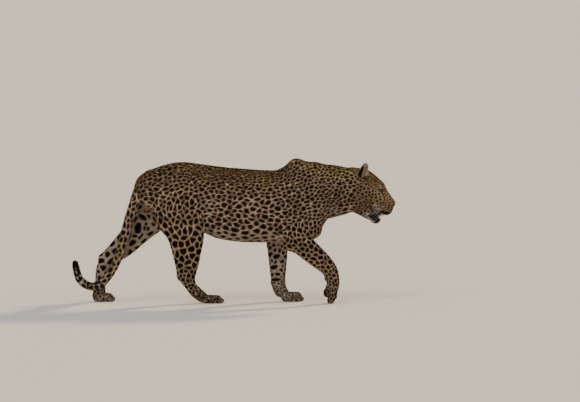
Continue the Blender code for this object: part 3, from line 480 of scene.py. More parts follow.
def new_object(name, verts, faces, smooth=True):
    me = bpy.data.meshes.new(name)
    faces = np.asarray(faces)
    verts = np.asarray(verts, np.float32) + TO_ORIGIN.astype(np.float32)
    me.vertices.add(len(verts))
    me.vertices.foreach_set("co", verts.reshape(-1))
    k = faces.shape[1]
    me.loops.add(faces.size)
    me.loops.foreach_set("vertex_index", faces.reshape(-1).astype(np.int32))
    me.polygons.add(len(faces))
    me.polygons.foreach_set("loop_start", np.arange(0, faces.size, k, dtype=np.int32))
    me.update(calc_edges=True)
    me.polygons.foreach_set("use_smooth", np.full(len(faces), smooth))
    ob = bpy.data.objects.new(name, me)
    bpy.context.scene.collection.objects.link(ob)
    return ob


def give(ob, name, values, kind="FLOAT"):
    a = ob.data.attributes.new(name, kind, "POINT")
    if kind == "FLOAT":
        a.data.foreach_set("value", np.asarray(values, np.float32))
    elif kind == "FLOAT_VECTOR":
        a.data.foreach_set("vector", np.asarray(values, np.float32).reshape(-1))
    else:
        v = np.ones((len(values), 4), np.float32)
        v[:, :3] = values
        a.data.foreach_set("color", v.reshape(-1))


def settle(ob):
    dg = bpy.context.evaluated_depsgraph_get()
    me = bpy.data.meshes.new_from_object(ob.evaluated_get(dg))
    ob.modifiers.clear()
    ob.data = me


# ---------------------------------------------------------------- skin

GRID_BODY, GRID_HEAD, SEAM = 0.0058, 0.0029, 0.546
EAR_UP = {s: unit(-17 * HF + s * 14 * HS + 57 * HU) for s in (-1, 1)}
EAR_OUT = {}
for _k in (-1, 1):
    _n = 0.94 * HF + _k * 0.34 * HS + 0.1 * HU
    EAR_OUT[_k] = unit(_n - EAR_UP[_k] * (_n @ EAR_UP[_k]))
EAR_AT = {s: H(-43, s * 66, 66) for s in (-1, 1)}


def ear_place(p, s):
    q = np.asarray(p, np.float32) * 1000 - EAR_AT[s].astype(np.float32)
    wide = np.cross(EAR_UP[s], EAR_OUT[s])
    return q @ EAR_UP[s].astype(np.float32), q @ wide.astype(np.float32), q @ EAR_OUT[s].astype(np.float32)


def ear_share(p):
    out = np.zeros(len(p), np.float32)
    for s in (-1, 1):
        a, b, c = ear_place(p, s)
        out = np.maximum(out, (1 - ramp(np.sqrt((a / 50) ** 2 + (b / 42) ** 2 + (c / 26) ** 2), 0.8, 1.25)) * ramp(a, -30, -14))
    return out


_feet = flesh()
PADS = [s for o, s, k, name in _feet.ops if name in ("toe pad", "pad") and o == "add" and isinstance(s, Ball) and s.c[2] < 0.09]
_rods = [s for o, s, k, name in _feet.ops if name == "toe" and o == "add"]
TOES = list(zip(_rods[0::2], _rods[1::2]))


def toe_gap(p):
    """1 in the groove between two toes, 0 away from it."""
    out = np.zeros(len(p), np.float32)
    low = np.flatnonzero(p[:, 2] < 0.085)
    if not len(low):
        return out
    q = p[low]
    d = np.sort(np.stack([np.minimum(a.dist(q), b.dist(q)) for a, b in TOES]) * 1000, axis=0)
    out[low] = (1 - ramp(d[1] - d[0], 0.5, 6.0)) * (1 - ramp(d[0], 7, 16)) * (1 - ramp(q[:, 2] * 1000, 58, 78))
    return out


def coat_depth(p):
    """How far the skin lies under the coat tips, in metres."""
    x, z = p[:, 0] * 1000, p[:, 2] * 1000
    f, s, u = head_place(p)
    d = 4.7 - 1.9 * (1 - ramp(z, 50, 320))
    head = ramp(x, 540, 610) * ramp(z, 380, 410)
    d = mix(d, 2.9 - 1.9 * ramp(f, 30, 110), head)
    d = mix(d, 0.9, ear_share(p))
    d = d * (0.15 + 0.85 * ramp(z, 0, 24))
    return (d * 0.001).astype(np.float32)


def detail(f):
    """What the skin adds to the outline: deeper ears, eyelids, the scrotum, lip cleft, mouth corners and lips."""
    for s in (-1, 1):
        wide = np.cross(EAR_UP[s], EAR_OUT[s])
        ax = np.stack([EAR_UP[s], wide, EAR_OUT[s]])
        f.cut(Ball(EAR_AT[s] + EAR_OUT[s] * 12.5 + EAR_UP[s] * 1, (33, 24.5, 19), ax), 4, "ear")
        f.cut(Ball(EAR_AT[s] + EAR_OUT[s] * 6.0 - EAR_UP[s] * 20, (14, 13, 12), ax), 5, "ear")
    for s in (-1, 1):
        look = eye_look(s)
        across = unit(np.cross(HU, look))
        ax = np.stack([look, across, np.cross(look, across)])
        f.add(Ball(H(EYE[0], s * EYE[1], EYE[2]), (18.4, 18.4, 17.6), ax), 2, "lids")
        f.cut(Ball(H(EYE[0], s * EYE[1], EYE[2]) + look * 17.5, (7.5, 11.6, 5.6), ax), 1.5, "lids")
    f.add(Ball((-421, 0, 461), (22, 21, 25)), 4, "scrotum")
    f.cut(Rod((-418, 0, 430), (-408, 0, 440), 2, 2), 6, "scrotum")
    f.cut(hrod((172, 0, -14), (160, 0, -46), 2.4, 2.0), 5, "cleft")
    for s in (-1, 1):
        f.cut(hrod((82, s * 46, -92), (104, s * 60, -80), 2, 3), 6, "lip corner")
        f.add(hrod((98, s * 27, -101), (132, s * 20, -94), 4.5, 4.0), 5, "lower lip")
        f.add(hrod((88, s * 37, -85), (121, s * 27, -87), 5.0, 3.6), 3, "lower lip")
        f.add(hrod((94, s * 37, -75), (136, s * 25, -66), 4.2, 3.4), 3, "upper lip")
        f.add(hrod((97, s * 34, -80), (130, s * 23, -75), 6.0, 5.0), 4, "inner lip")
    return f


def grid_surface(f, lo, hi, h):
    n = np.ceil((hi - lo) / h).astype(int) + 1
    g = f.on_grid(lo, h, n)
    near = np.abs(g) < 0.02
    idx = np.argwhere(near).astype(np.float32)
    p = idx * np.float32(h) + lo.astype(np.float32)
    g[near] += coat_depth(p)
    z = np.float32(lo[2]) + np.float32(h) * np.arange(n[2], dtype=np.float32)
    g = np.maximum(g, (np.float32(0.0004) - z)[None, None, :])
    return surface(g, lo, h)


def to_tris(pts, quads):
    a = np.linalg.norm(pts[quads[:, 0]] - pts[quads[:, 2]], axis=1)
    b = np.linalg.norm(pts[quads[:, 1]] - pts[quads[:, 3]], axis=1)
    m = a < b
    q, r = quads[m], quads[~m]
    return np.concatenate([q[:, [0, 1, 2]], q[:, [0, 2, 3]], r[:, [0, 1, 3]], r[:, [1, 2, 3]]])


def biggest(pts, tris):
    """Keeps the largest connected piece."""
    label = np.arange(len(pts))
    e = np.concatenate([tris[:, [0, 1]], tris[:, [1, 2]]])
    while True:
        low = label.copy()
        np.minimum.at(low, e[:, 0], label[e[:, 1]])
        np.minimum.at(low, e[:, 1], label[e[:, 0]])
        low = low[low]
        low = low[low]
        if (low == label).all():
            break
        label = low
    ids, count = np.unique(label[tris[:, 0]], return_counts=True)
    tris = tris[label[tris[:, 0]] == ids[count.argmax()]]
    used, inverse = np.unique(tris, return_inverse=True)
    return pts[used], inverse.reshape(tris.shape)


def rim_loop(tris):
    """The longest open edge loop, in order."""
    e = np.concatenate([tris[:, [0, 1]], tris[:, [1, 2]], tris[:, [2, 0]]])
    key = np.sort(e, 1)
    _, first, count = np.unique(key[:, 0].astype(np.int64) * 10 ** 7 + key[:, 1], return_index=True, return_counts=True)
    edges = e[first[count == 1]]
    follow = {}
    for a, b in edges:
        follow.setdefault(int(a), []).append(int(b))
    best = []
    while follow:
        a = next(iter(follow))
        loop = [a]
        while a in follow:
            b = follow[a].pop()
            if not follow[a]:
                del follow[a]
            if b == loop[0]:
                break
            loop.append(b)
            a = b
        if len(loop) > len(best):
            best = loop
    return best


def zipper(pts, la, lb):
    """Triangles between two rings of edges. la runs with its faces' order, lb against it after turning."""
    lb = lb[::-1]
    d = ((pts[lb] - pts[la[0]]) ** 2).sum(1)
    k = int(d.argmin())
    lb = lb[k:] + lb[:k]
    i = j = 0
    out = []
    na, nb = len(la), len(lb)
    while i < na or j < nb:
        a, b = la[i % na], lb[j % nb]
        a2, b2 = la[(i + 1) % na], lb[(j + 1) % nb]
        da = np.linalg.norm(pts[a2] - pts[b]) if i < na else 9
        db = np.linalg.norm(pts[b2] - pts[a]) if j < nb else 9
        if da <= db:
            out.append((a2, a, b))
            i += 1
        else:
            out.append((b, b2, a))
            j += 1
    return np.array(out)


def smooth(pts, tris, weight, rounds, lam=0.5, mu=-0.52):
    e = np.unique(np.sort(np.concatenate([tris[:, [0, 1]], tris[:, [1, 2]], tris[:, [2, 0]]]), 1), axis=0)
    n = len(pts)
    a, b = np.concatenate([e[:, 0], e[:, 1]]), np.concatenate([e[:, 1], e[:, 0]])
    deg = np.bincount(a, minlength=n)
    for r in range(rounds * 2):
        k = lam if r % 2 == 0 else mu
        mean = np.stack([np.bincount(a, pts[b, i], minlength=n) for i in range(3)], 1) / deg[:, None]
        pts = pts + (mean - pts) * (k * weight)[:, None]
    return pts


def point_normals(pts, tris):
    c = np.cross(pts[tris[:, 1]] - pts[tris[:, 0]], pts[tris[:, 2]] - pts[tris[:, 0]])
    n = np.zeros((len(pts), 3))
    for i in range(3):
        for k in range(3):
            n[:, k] += np.bincount(tris[:, i], c[:, k], minlength=len(pts))
    return rows_unit(n)


# folds: (side, points (x, z), half width, depth) on the flanks
FOLDS = [
    (-1, ((-206, 612), (-190, 556), (-176, 500), (-146, 420), (-122, 352)), 8, 6.0),
    (-1, ((-168, 420), (-150, 380), (-128, 350)), 9, 3.0),
    (-1, ((262, 510), (244, 440), (238, 373), (248, 292)), 8, 6.5),
    (-1, ((274, 400), (262, 350), (268, 300)), 8, 3.0),
    (-1, ((428, 650), (404, 580), (398, 500), (416, 430)), 12, 3.5),
    (-1, ((-330, 560), (-352, 500), (-344, 430)), 12, 3.0),
    (-1, ((300, 560), (330, 470), (392, 420)), 12, 2.5),
    (-1, ((350, 330), (330, 300), (318, 268)), 8, 2.5),
    (1, ((-262, 612), (-240, 540), (-236, 470), (-214, 400)), 8, 6.0),
    (1, ((200, 520), (176, 440), (168, 373)), 8, 6.0),
    (1, ((420, 650), (398, 580), (392, 500), (410, 430)), 12, 3.5),
    (1, ((-400, 560), (-420, 500), (-430, 440)), 12, 3.0),
]


def fold_shift(p, n):
    x, y, z = p[:, 0] * 1000, p[:, 1] * 1000, p[:, 2] * 1000
    out = np.zeros(len(p), np.float32)
    for side, line, wide, deep in FOLDS:
        line = smooth_rows(line, 4)
        best = np.full(len(p), 1e9)
        at = np.zeros(len(p))
        for i in range(len(line) - 1):
            a, b = line[i], line[i + 1]
            t = np.clip(((x - a[0]) * (b[0] - a[0]) + (z - a[1]) * (b[1] - a[1])) / ((b - a) ** 2).sum(), 0, 1)
            d = np.hypot(x - a[0] - t * (b[0] - a[0]), z - a[1] - t * (b[1] - a[1]))
            m = d < best
            best[m] = d[m]
            at[m] = (i + t[m]) / (len(line) - 1)
        fade = np.sin(np.pi * np.clip(at, 0.04, 0.96)) ** 0.6 * ramp(side * n[:, 1], 0.1, 0.5)
        out -= (deep * np.exp(-(best / wide) ** 2) * fade).astype(np.float32)
    out -= 2.4 * toe_gap(p)
    return out * 0.001


def build_skin():
    f = detail(flesh())
    f.floor = None
    lo, hi = f.box()
    lo, hi = lo - 0.012, hi + 0.012
    a_hi = np.array((SEAM + 0.02, hi[1], hi[2]))
    pa, qa = grid_surface(f, lo, a_hi, GRID_BODY)
    b_lo = np.array((SEAM - 0.012, lo[1] * 0.85, 0.36))
    b_hi = np.array((hi[0], hi[1] * 0.85, hi[2]))
    pb, qb = grid_surface(f, b_lo, b_hi, GRID_HEAD)
    ta, tb = to_tris(pa, qa), to_tris(pb, qb)
    ta = ta[(pa[ta, 0] < SEAM).all(1)]
    tb = tb[(pb[tb, 0] > SEAM + 0.003).all(1)]
    pa, ta = biggest(pa, ta)
    pb, tb = biggest(pb, tb)
    pts = np.concatenate([pa, pb])
    tris = np.concatenate([ta, tb + len(pa)])
    la, lb = rim_loop(ta), [k + len(pa) for k in rim_loop(tb)]
    tris = np.concatenate([tris, zipper(pts, la, lb)])
    pts = pts.astype(np.float64)
    vol = (np.cross(pts[tris[:, 0]], pts[tris[:, 1]]) * pts[tris[:, 2]]).sum() / 6
    if vol < 0:
        tris = tris[:, ::-1]
    f3, s3, u3 = head_place(pts)
    head = ramp(pts[:, 0] * 1000, 545, 575) * ramp(pts[:, 2] * 1000, 375, 400)
    feet = 1 - ramp(pts[:, 2] * 1000, 60, 130)
    w = mix(1.0, 0.30, head) * mix(1.0, 0.35, feet)
    w = w * mix(1.0, 0.2, ear_share(pts))
    pts = smooth(pts, tris, w, 14)
    n = point_normals(pts, tris)
    pts = pts + n * fold_shift(pts, n)[:, None]
    pts[:, 2] = np.maximum(pts[:, 2], 0.0003)
    say("skin", len(pts), "points", len(tris), "triangles, volume", round(abs(vol), 5), "rims", len(la), len(lb))
    return pts.astype(np.float32), tris


# ---------------------------------------------------------------- where a point is on the body

CHAINS = [("trunk", Chain(TRUNK, 4, 2.15)), ("neck", Chain(NECK, 4, 2.1)), ("fore_right", Chain(NEAR_FORE, 5, 2.1)), ("fore_left", Chain(FAR_FORE, 5, 2.1)),
          ("hind_right", Chain(NEAR_HIND, 5, 2.1)), ("hind_left", Chain(FAR_HIND, 5, 2.1)), ("tail", Chain(TAIL, 5, 2.0))]
PARTS = [n for n, c in CHAINS] + ["head"]
SIDE = {"fore_right": -1, "fore_left": 1, "hind_right": -1, "hind_left": 1}


class Place:
    """Share of each part of the body, direction along it and place along it, for every point."""

    def __init__(self, p):
        p = np.asarray(p, np.float32)
        n = len(p)
        d = np.zeros((n, len(CHAINS)), np.float32)
        self.along = np.zeros((n, len(PARTS)), np.float32)
        self.way = []
        for i, (name, ch) in enumerate(CHAINS):
            di, t, s = ch.dist(p, True)
            d[:, i] = di
            self.along[:, i] = s / (len(ch.s) - 1)
            self.way.append(t.astype(np.float32))
        d[:, 6] += 0.004
        x, z = p[:, 0] * 1000, p[:, 2] * 1000
        w = np.exp(-(d - d.min(1)[:, None]) / 0.009)
        w[:, 1] *= ramp(x, 340, 420)
        w[:, 0] *= 1 - ramp(x, 380, 440)
        w /= np.maximum(w.sum(1), 1e-6)[:, None]
        head = ramp(x, 545, 600) * ramp(z, 375, 405)
        self.w = np.concatenate([w * (1 - head)[:, None], head[:, None]], 1)
        self.head = head

    def share(self, name):
        return self.w[:, PARTS.index(name)]

    def legs(self):
        return self.w[:, 2:6].sum(1)


def lie(p, n, pl):
    """Direction in which the coat lies."""
    p = np.asarray(p, np.float32)
    n = n.astype(np.float32)
    x, z = p[:, 0] * 1000, p[:, 2] * 1000
    v = np.zeros((len(p), 3), np.float32)
    down = np.array((0, 0, -1.0), np.float32)
    v += pl.share("trunk")[:, None] * (-pl.way[0] + 0.38 * np.abs(n[:, 1])[:, None] * down)
    v += pl.share("neck")[:, None] * (-pl.way[1] + 0.45 * np.abs(n[:, 1])[:, None] * down)
    toes = 1 - ramp(z, 22, 62)
    for i, name in ((2, "fore_right"), (3, "fore_left"), (4, "hind_right"), (5, "hind_left")):
        back = np.zeros((len(p), 3), np.float32)
        back[:, 0] = -0.45 * ramp(z, 200, 420) + (0.9 * toes if name != "fore_right" else 0)
        v += pl.w[:, i][:, None] * (pl.way[i] * (1 - 0.6 * toes)[:, None] + back)
    v += pl.share("tail")[:, None] * pl.way[6]
    f, s, u = head_place(p)
    away = rows_unit(np.stack([f - 172, s * 0.9, u - 22], 1)).astype(np.float32)
    chin = ramp(-u, 70, 100)
    away[:, 2] = away[:, 2] * (1 - chin) - 0.1 * chin
    world = away @ HEAD_AXES.astype(np.float32)
    world += 0.25 * np.abs(n[:, 1])[:, None] * down
    e = ear_share(p)
    for k in (-1, 1):
        m = (np.sign(s) == k)
        world[m] = world[m] * (1 - e[m])[:, None] + e[m][:, None] * EAR_UP[k].astype(np.float32)
    v += pl.head[:, None] * world
    v -= n * (v * n).sum(1)[:, None]
    return rows_unit(v).astype(np.float32)


# ---------------------------------------------------------------- markings

def spacing(p, n, pl):
    """Distance between blotches, width of the ground between them, largest radius and stretch, in mm."""
    x, z = p[:, 0] * 1000, p[:, 2] * 1000
    f, s, u = head_place(p)
    t = (z - 300) / 340
    up = ramp(t, 0.45, 0.98)
    low_r = mix(32, 22, ramp(x, 170, 260))
    top_r = mix(24, 18.5, ramp(x, -300, -200))
    trunk_r = mix(low_r, top_r, up)
    belly = ramp(-n[:, 2], 0.25, 0.8)
    trunk_r = trunk_r + 3 * belly
    neck_r = mix(18.5, 22, ramp(x, 480, 560)) + 6 * belly
    fore_r = np.interp(z, (0, 40, 90, 150, 230, 330, 430, 560), (12, 13, 16, 20, 24, 23, 20, 19))
    hind_r = np.interp(z, (0, 40, 90, 160, 250, 330, 430, 600), (12, 14, 18, 25, 34, 33, 28, 25)) * (1 + 0.22 * inner_side(p, n, pl))
    tail_r = np.full(len(p), 25.0)
    brow = ramp(u, 10, 55)
    muzzle = ramp(f, 70, 120)
    head_r = mix(mix(17.0, 12.5, brow), mix(12.5, 9.0, brow), muzzle)
    W = pl.w
    r = W[:, 0] * trunk_r + W[:, 1] * neck_r + (W[:, 2] + W[:, 3]) * fore_r + (W[:, 4] + W[:, 5]) * hind_r + W[:, 6] * tail_r + W[:, 7] * head_r
    legs = pl.legs()
    low = (1 - ramp(z, 60, 220)) * legs
    front = ramp(x, 170, 300) * (W[:, 0] + W[:, 1])
    line = 0.215 - 0.045 * up * W[:, 0] * (1 - front) + 0.20 * belly * (1 - pl.head) + 0.02 * low - 0.008 * front
    cap = 0.70 - 0.20 * belly - 0.14 * low
    head_cap = 0.36 + 0.02 * (1 - muzzle)
    line = mix(line, 0.35, pl.head)
    cap = mix(cap, head_cap, pl.head)
    inner = inner_side(p, n, pl)
    cap = cap - 0.14 * inner
    line = line + 0.16 * inner
    stretch = 1.42 + 0.10 * up * W[:, 0] - 0.30 * legs - 0.30 * pl.head + 0.15 * W[:, 6] - 0.14 * W[:, 1]
    return r, line * r, cap * r, stretch


def inner_side(p, n, pl):
    out = np.zeros(len(p), np.float32)
    for name, k in SIDE.items():
        out += pl.share(name) * ramp(-k * n[:, 1], 0.15, 0.7)
    return out


def across(q, size):
    """Neighbour table: points sorted into cells."""
    lo = q.min(0) - size
    dims = np.ceil((q.max(0) - lo) / size).astype(int) + 2
    c = ((q - lo) / size).astype(int)
    key = (c[:, 0] * dims[1] + c[:, 1]) * dims[2] + c[:, 2]
    order = np.argsort(key, kind="stable")
    return lo, dims, key[order], order


def near_points(table, c, reach, size):
    lo, dims, key, order = table
    a = np.maximum(((c - reach - lo) / size).astype(int), 0)
    b = np.minimum(((c + reach - lo) / size).astype(int), dims - 1)
    ix, iy = np.meshgrid(np.arange(a[0], b[0] + 1), np.arange(a[1], b[1] + 1), indexing="ij")
    base = (ix * dims[1] + iy).reshape(-1) * dims[2]
    i0 = np.searchsorted(key, base + a[2], "left")
    i1 = np.searchsorted(key, base + b[2], "right")
    spans = [order[i:j] for i, j in zip(i0, i1) if j > i]
    return np.concatenate(spans) if spans else np.zeros(0, int)


class Blotches:
    """Rosettes first, each a ring of blotches round a brown middle, then single blotches in what is left."""

    def __init__(self, pts, nrm, tris):
        area = 0.5 * np.linalg.norm(np.cross(pts[tris[:, 1]] - pts[tris[:, 0]], pts[tris[:, 2]] - pts[tris[:, 0]]), axis=1)
        mid = pts[tris].mean(1)
        pl = Place(mid)
        r = spacing(mid, rows_unit(nrm[tris].mean(1)), pl)[0]
        tri, bary = scatter(area / r ** 2, 80000)
        p = (pts[tris[tri]] * bary[:, :, None]).sum(1)
        n = rows_unit((nrm[tris[tri]] * bary[:, :, None]).sum(1))
        pl = Place(p)
        r, line, cap, stretch = spacing(p, n, pl)
        way = lie(p, n, pl)
        order = rng.permutation(len(p))
        zone = (pl.share("trunk") + 0.7 * (pl.share("hind_right") + pl.share("hind_left")) * ramp(p[:, 2], 0.36, 0.42)) * (1 - ramp(-n[:, 2], 0.2, 0.5)) * (1 - ramp(p[:, 0], 0.18, 0.26)) * (1 - ramp(p[:, 2], 0.60, 0.66))
        size = 0.02
        table = across(p, size)
        # long axis of a blotch: along the lie of the coat, tilted up towards the head on the flank
        turn = np.radians(rng.normal(0, 14, len(p)) + 16 * pl.share("trunk") * ramp(p[:, 2], 0.62, 0.52) - 24 * pl.share("trunk") * ramp(p[:, 2], 0.56, 0.64))
        turn = (turn * np.sign(n[:, 1] + 1e-6))[:, None]
        e1 = way * np.cos(turn) + np.cross(n, way) * np.sin(turn)
        e2 = np.cross(n, e1)

        def within(i, near, reach):
            d = p[near] - p[i]
            k = stretch[i]
            return (d @ e1[i]) ** 2 / k + (d @ e2[i]) ** 2 * k + (d @ n[i]) ** 2 < reach ** 2

        free = np.ones(len(p), bool)
        self.rosettes, rings = [], []
        for i in order:
            if not free[i] or zone[i] < 0.5:
                continue
            reach = 1.42 * r[i] * 0.001
            near = near_points(table, p[i], reach * 1.2, size)
            free[near[within(i, near, reach)]] = False
            k = int(rng.choice((3, 4, 4, 5)))
            rad = r[i] * 0.001 * {3: 0.44, 4: 0.54, 5: 0.62}[k]
            self.rosettes.append((p[i], rad * 0.9, n[i]))
            a0 = rng.uniform(0, 6.28)
            for j in range(k):
                a = a0 + 6.283 * (j + rng.uniform(-0.14, 0.14)) / k
                goal = p[i] + rad * (math.cos(a) * e1[i] * 1.2 + math.sin(a) * e2[i] * 0.85)
                c = near[((p[near] - goal) ** 2).sum(1).argmin()]
                rings.append((c, i))
        free = np.ones(len(p), bool)
        chosen, own_r = [], []

        def sieve(c, share):
            reach = share * r[c] * 0.001
            near = near_points(table, p[c], reach * 1.3, size)
            free[near[within(c, near, reach)]] = False

        for c, i in rings:
            if free[c]:
                chosen.append(c)
                own_r.append(r[c] * 0.86)
                sieve(c, 0.52)
        free[:] = True
        for c in chosen:
            sieve(c, 0.74)
        for c in order:
            if free[c]:
                chosen.append(c)
                own_r.append(r[c] * rng.uniform(0.84, 1.0))
                sieve(c, 0.79)
        c = np.array(chosen)
        self.at, self.n, self.r = p[c], n[c], np.array(own_r)
        self.line, self.cap, self.stretch = line[c], cap[c] * rng.uniform(0.9, 1.1, len(c)), stretch[c]
        self.e1 = e1[c]
        self.e2 = np.cross(self.n, self.e1)
        say("blotches", len(c), "in", len(self.rosettes), "rosettes")

    def read(self, p, n):
        """(signed distance into a blotch in mm, share of the brown middle) for every point."""
        p = np.asarray(p, np.float32)
        w = np.stack([waver(p, 13, 0), waver(p, 13, 6), waver(p, 13, 12)], 1)
        amp = 0.0021 - 0.0012 * ramp(p[:, 0], 0.56, 0.62)
        q = p + w * amp[:, None]
        size = 0.02
        table = across(q, size)
        b1 = np.full(len(p), 9.0, np.float32)
        b2 = np.full(len(p), 9.0, np.float32)
        own = np.zeros(len(p), np.int32)
        for i in range(len(self.at)):
            reach = 0.00105 * self.r[i] * 1.15
            idx = near_points(table, self.at[i], reach, size)
            if not len(idx):
                continue
            d = q[idx] - self.at[i].astype(np.float32)
            ok = (np.abs(d) < reach * 1.2).all(1)
            idx, d = idx[ok], d[ok]
            ok = (n[idx] @ self.n[i].astype(np.float32)) > 0.0
            idx, d = idx[ok], d[ok] * 1000
            a, b, c = d @ self.e1[i].astype(np.float32), d @ self.e2[i].astype(np.float32), d @ self.n[i].astype(np.float32)
            k = self.stretch[i]
            rho = np.sqrt((a / k) ** 2 * k + b * b * k + 0.5 * c * c) / np.float32(self.r[i] / 2)
            better = rho < b1[idx]
            b2[idx] = np.where(better, b1[idx], np.minimum(b2[idx], rho))
            b1[idx] = np.where(better, rho, b1[idx])
            own[idx[better]] = i
        half = (self.r / 2).astype(np.float32)[own]
        cell = (b2 - b1) / 2 * half - self.line.astype(np.float32)[own] / 2
        body = self.cap.astype(np.float32)[own] - b1 * half
        s = smin(cell, body, np.float32(1.2)) + 0.15
        brown = np.zeros(len(p), np.float32)
        for c, rad, nn in self.rosettes:
            idx = near_points(table, c, rad * 1.5, size)
            if len(idx):
                d = np.sqrt(((q[idx] - c.astype(np.float32)) ** 2).sum(1))
                brown[idx] = np.maximum(brown[idx], 1 - ramp(d, rad * 0.75, rad * 1.25))
        return s, brown


def scatter(weight, count, jitter=True):
    """Places on triangles, evenly by weight: (triangle, barycentric)."""
    cum = np.cumsum(weight.astype(np.float64))
    step = cum[-1] / count
    at = (np.arange(count) + (rng.random(count) if jitter else 0.5)) * step
    tri = np.minimum(np.searchsorted(cum, at), len(weight) - 1)
    a, b = np.sqrt(rng.random(count)), rng.random(count)
    return tri, np.stack([1 - a, a * (1 - b), a * b], 1).astype(np.float32)


def capsule(f, u, a, b):
    """Distance in mm from (f, u) to the line from a to b."""
    a, b = np.asarray(a, float), np.asarray(b, float)
    t = np.clip(((f - a[0]) * (b[0] - a[0]) + (u - a[1]) * (b[1] - a[1])) / max(((b - a) ** 2).sum(), 1e-6), 0, 1)
    return np.hypot(f - a[0] - t * (b[0] - a[0]), u - a[1] - t * (b[1] - a[1]))


MOUTH = hrod((84, 0, -85), (180, 0, -74), 3.0, 16.0, ((0, 1, 0), 14))
NOSE = hball(156, 0, 1, (12.5, 17.0, 13.0))


def eye_ring(p):
    """1 on the edge of the opening between the lids, less inside it, more outside."""
    best = np.full(len(p), 9.0, np.float32)
    for s in (-1, 1):
        c, look = H(EYE[0], s * EYE[1], EYE[2]), eye_look(s)
        side = unit(np.cross(HU, look)) * s
        up = np.cross(look, side) * s
        q = p * 1000 - c.astype(np.float32)
        r = np.linalg.norm(q, axis=1) + 1e-6
        fwd = (q @ look.astype(np.float32)) / r
        a, b = (q @ side.astype(np.float32)) / r, (q @ up.astype(np.float32)) / r
        e = np.sqrt((a / 0.72) ** 2 + (b / 0.40) ** 2)
        best = np.where((fwd > 0.1) & (r < 32), np.minimum(best, e), best)
    return best


def face_marks(p, n, s):
    """Adds the marks of the face to the blotches."""
    f, y, u = head_place(p)
    k = ramp(p[:, 0], 0.545, 0.60) * ramp(p[:, 2], 0.375, 0.405)
    side = np.abs(y)
    out = s.copy()
    on = k > 0.5
    add = lambda d: np.where(on, np.maximum(out, d), out)
    e = eye_ring(p)
    # bare dark rim, tear line and the dark line towards the temple
    out = np.where(on & (e < 1.75) & (e > 1.15), np.minimum(out, -1.0), out)
    out = add((1.16 - e) * 9)
    out = add(np.where(side > 14, 2.0 - capsule(f, u, (72, 34), (90, 14)), -9))
    out = add(np.where(side > 30, 1.5 - capsule(f, u, (52, 39), (42, 34)), -9))
    # whisker rows
    for row in range(4):
        for col in range(5):
            cf, cu = 146 - 9.5 * col - 2 * row, -17 - 8.2 * row + 1.2 * col
            out = add(np.where(side > 17, 1.9 - np.hypot((f - cf) * 0.75, u - cu), -9))
    # corner of the mouth and the lower lip: the black lower lip drawn as a wide patch over the side of the lower jaw,
    # partly the real black lip and partly painted shade on the jaw; then the black edge of the upper lip
    jaw = 15.5 - np.hypot(np.maximum(np.abs(f - 108) - 14, 0) * 0.9, u + 101 + 0.10 * (f - 108))
    out = add(np.where(side > 13, jaw + 1.6 * waver(p, 9, 4), -9))
    out = add(np.where(side > 13, 8.0 + 1.6 * waver(p, 7, 5) - capsule(f, u, (86, -73), (134, -58)), -9))
    out = add(np.where(side > 8, 4.6 + 1.2 * waver(p, 7, 5) - capsule(f, u, (134, -58), (156, -45)), -9))
    out = np.where(on & (f > 84) & ((u < -113) | ((f > 118) & (u < -98) & (side < 15))), np.minimum(out, -2.0), out)
    for q in (-1, 1):
        a, b, c = ear_place(p, q)
        back = (n @ EAR_OUT[q].astype(np.float32)) < 0.12 + 0.25 * ramp(q * b, 4, 20)
        ear = (a > -26) & (a < 48) & (np.abs(b) < 40) & (np.abs(c) < 26) & back & on
        d = np.minimum(26 - a - 0.12 * b, a + 24)
        out = np.where(ear, np.clip(d, -8, 8), out)
        front = (a > -20) & (np.abs(b) < 36) & (np.abs(c) < 20) & ~back & on
        out = np.where(front, np.minimum(out, -3), out)
    return out


def tail_marks(p, pl, s):
    t = pl.along[:, 6]
    k = pl.share("tail") > 0.5
    mm = t * 900
    ring = (np.cos(mm / 36 * 6.283 + 0.5 * waver(p, 40, 3)) - 0.05) * 6.0
    s = np.where(k & (t > 0.60), np.maximum(s, np.minimum(ring, 40 * (t - 0.60) * 4 - 2)), s)
    tip = (t - 0.925) * 160 + 2.0 * waver(p, 20, 2)
    return np.where(k & (t > 0.88), np.maximum(s, tip), s)


def srgb(r, g, b):
    c = np.array((r, g, b)) / 255.0
    return np.where(c <= 0.04045, c / 12.92, ((c + 0.055) / 1.055) ** 2.4)


TAN_TOP, TAN_SIDE, TAN_LOW = srgb(240, 202, 144), srgb(240, 211, 176), srgb(238, 206, 164)
WHITE, BROWN, BLACK = srgb(232, 220, 206), srgb(156, 112, 72), srgb(7, 5, 5)
ORANGE, LIP, GUM, PAD = srgb(190, 146, 96), srgb(14, 10, 10), srgb(92, 44, 42), srgb(28, 21, 19)


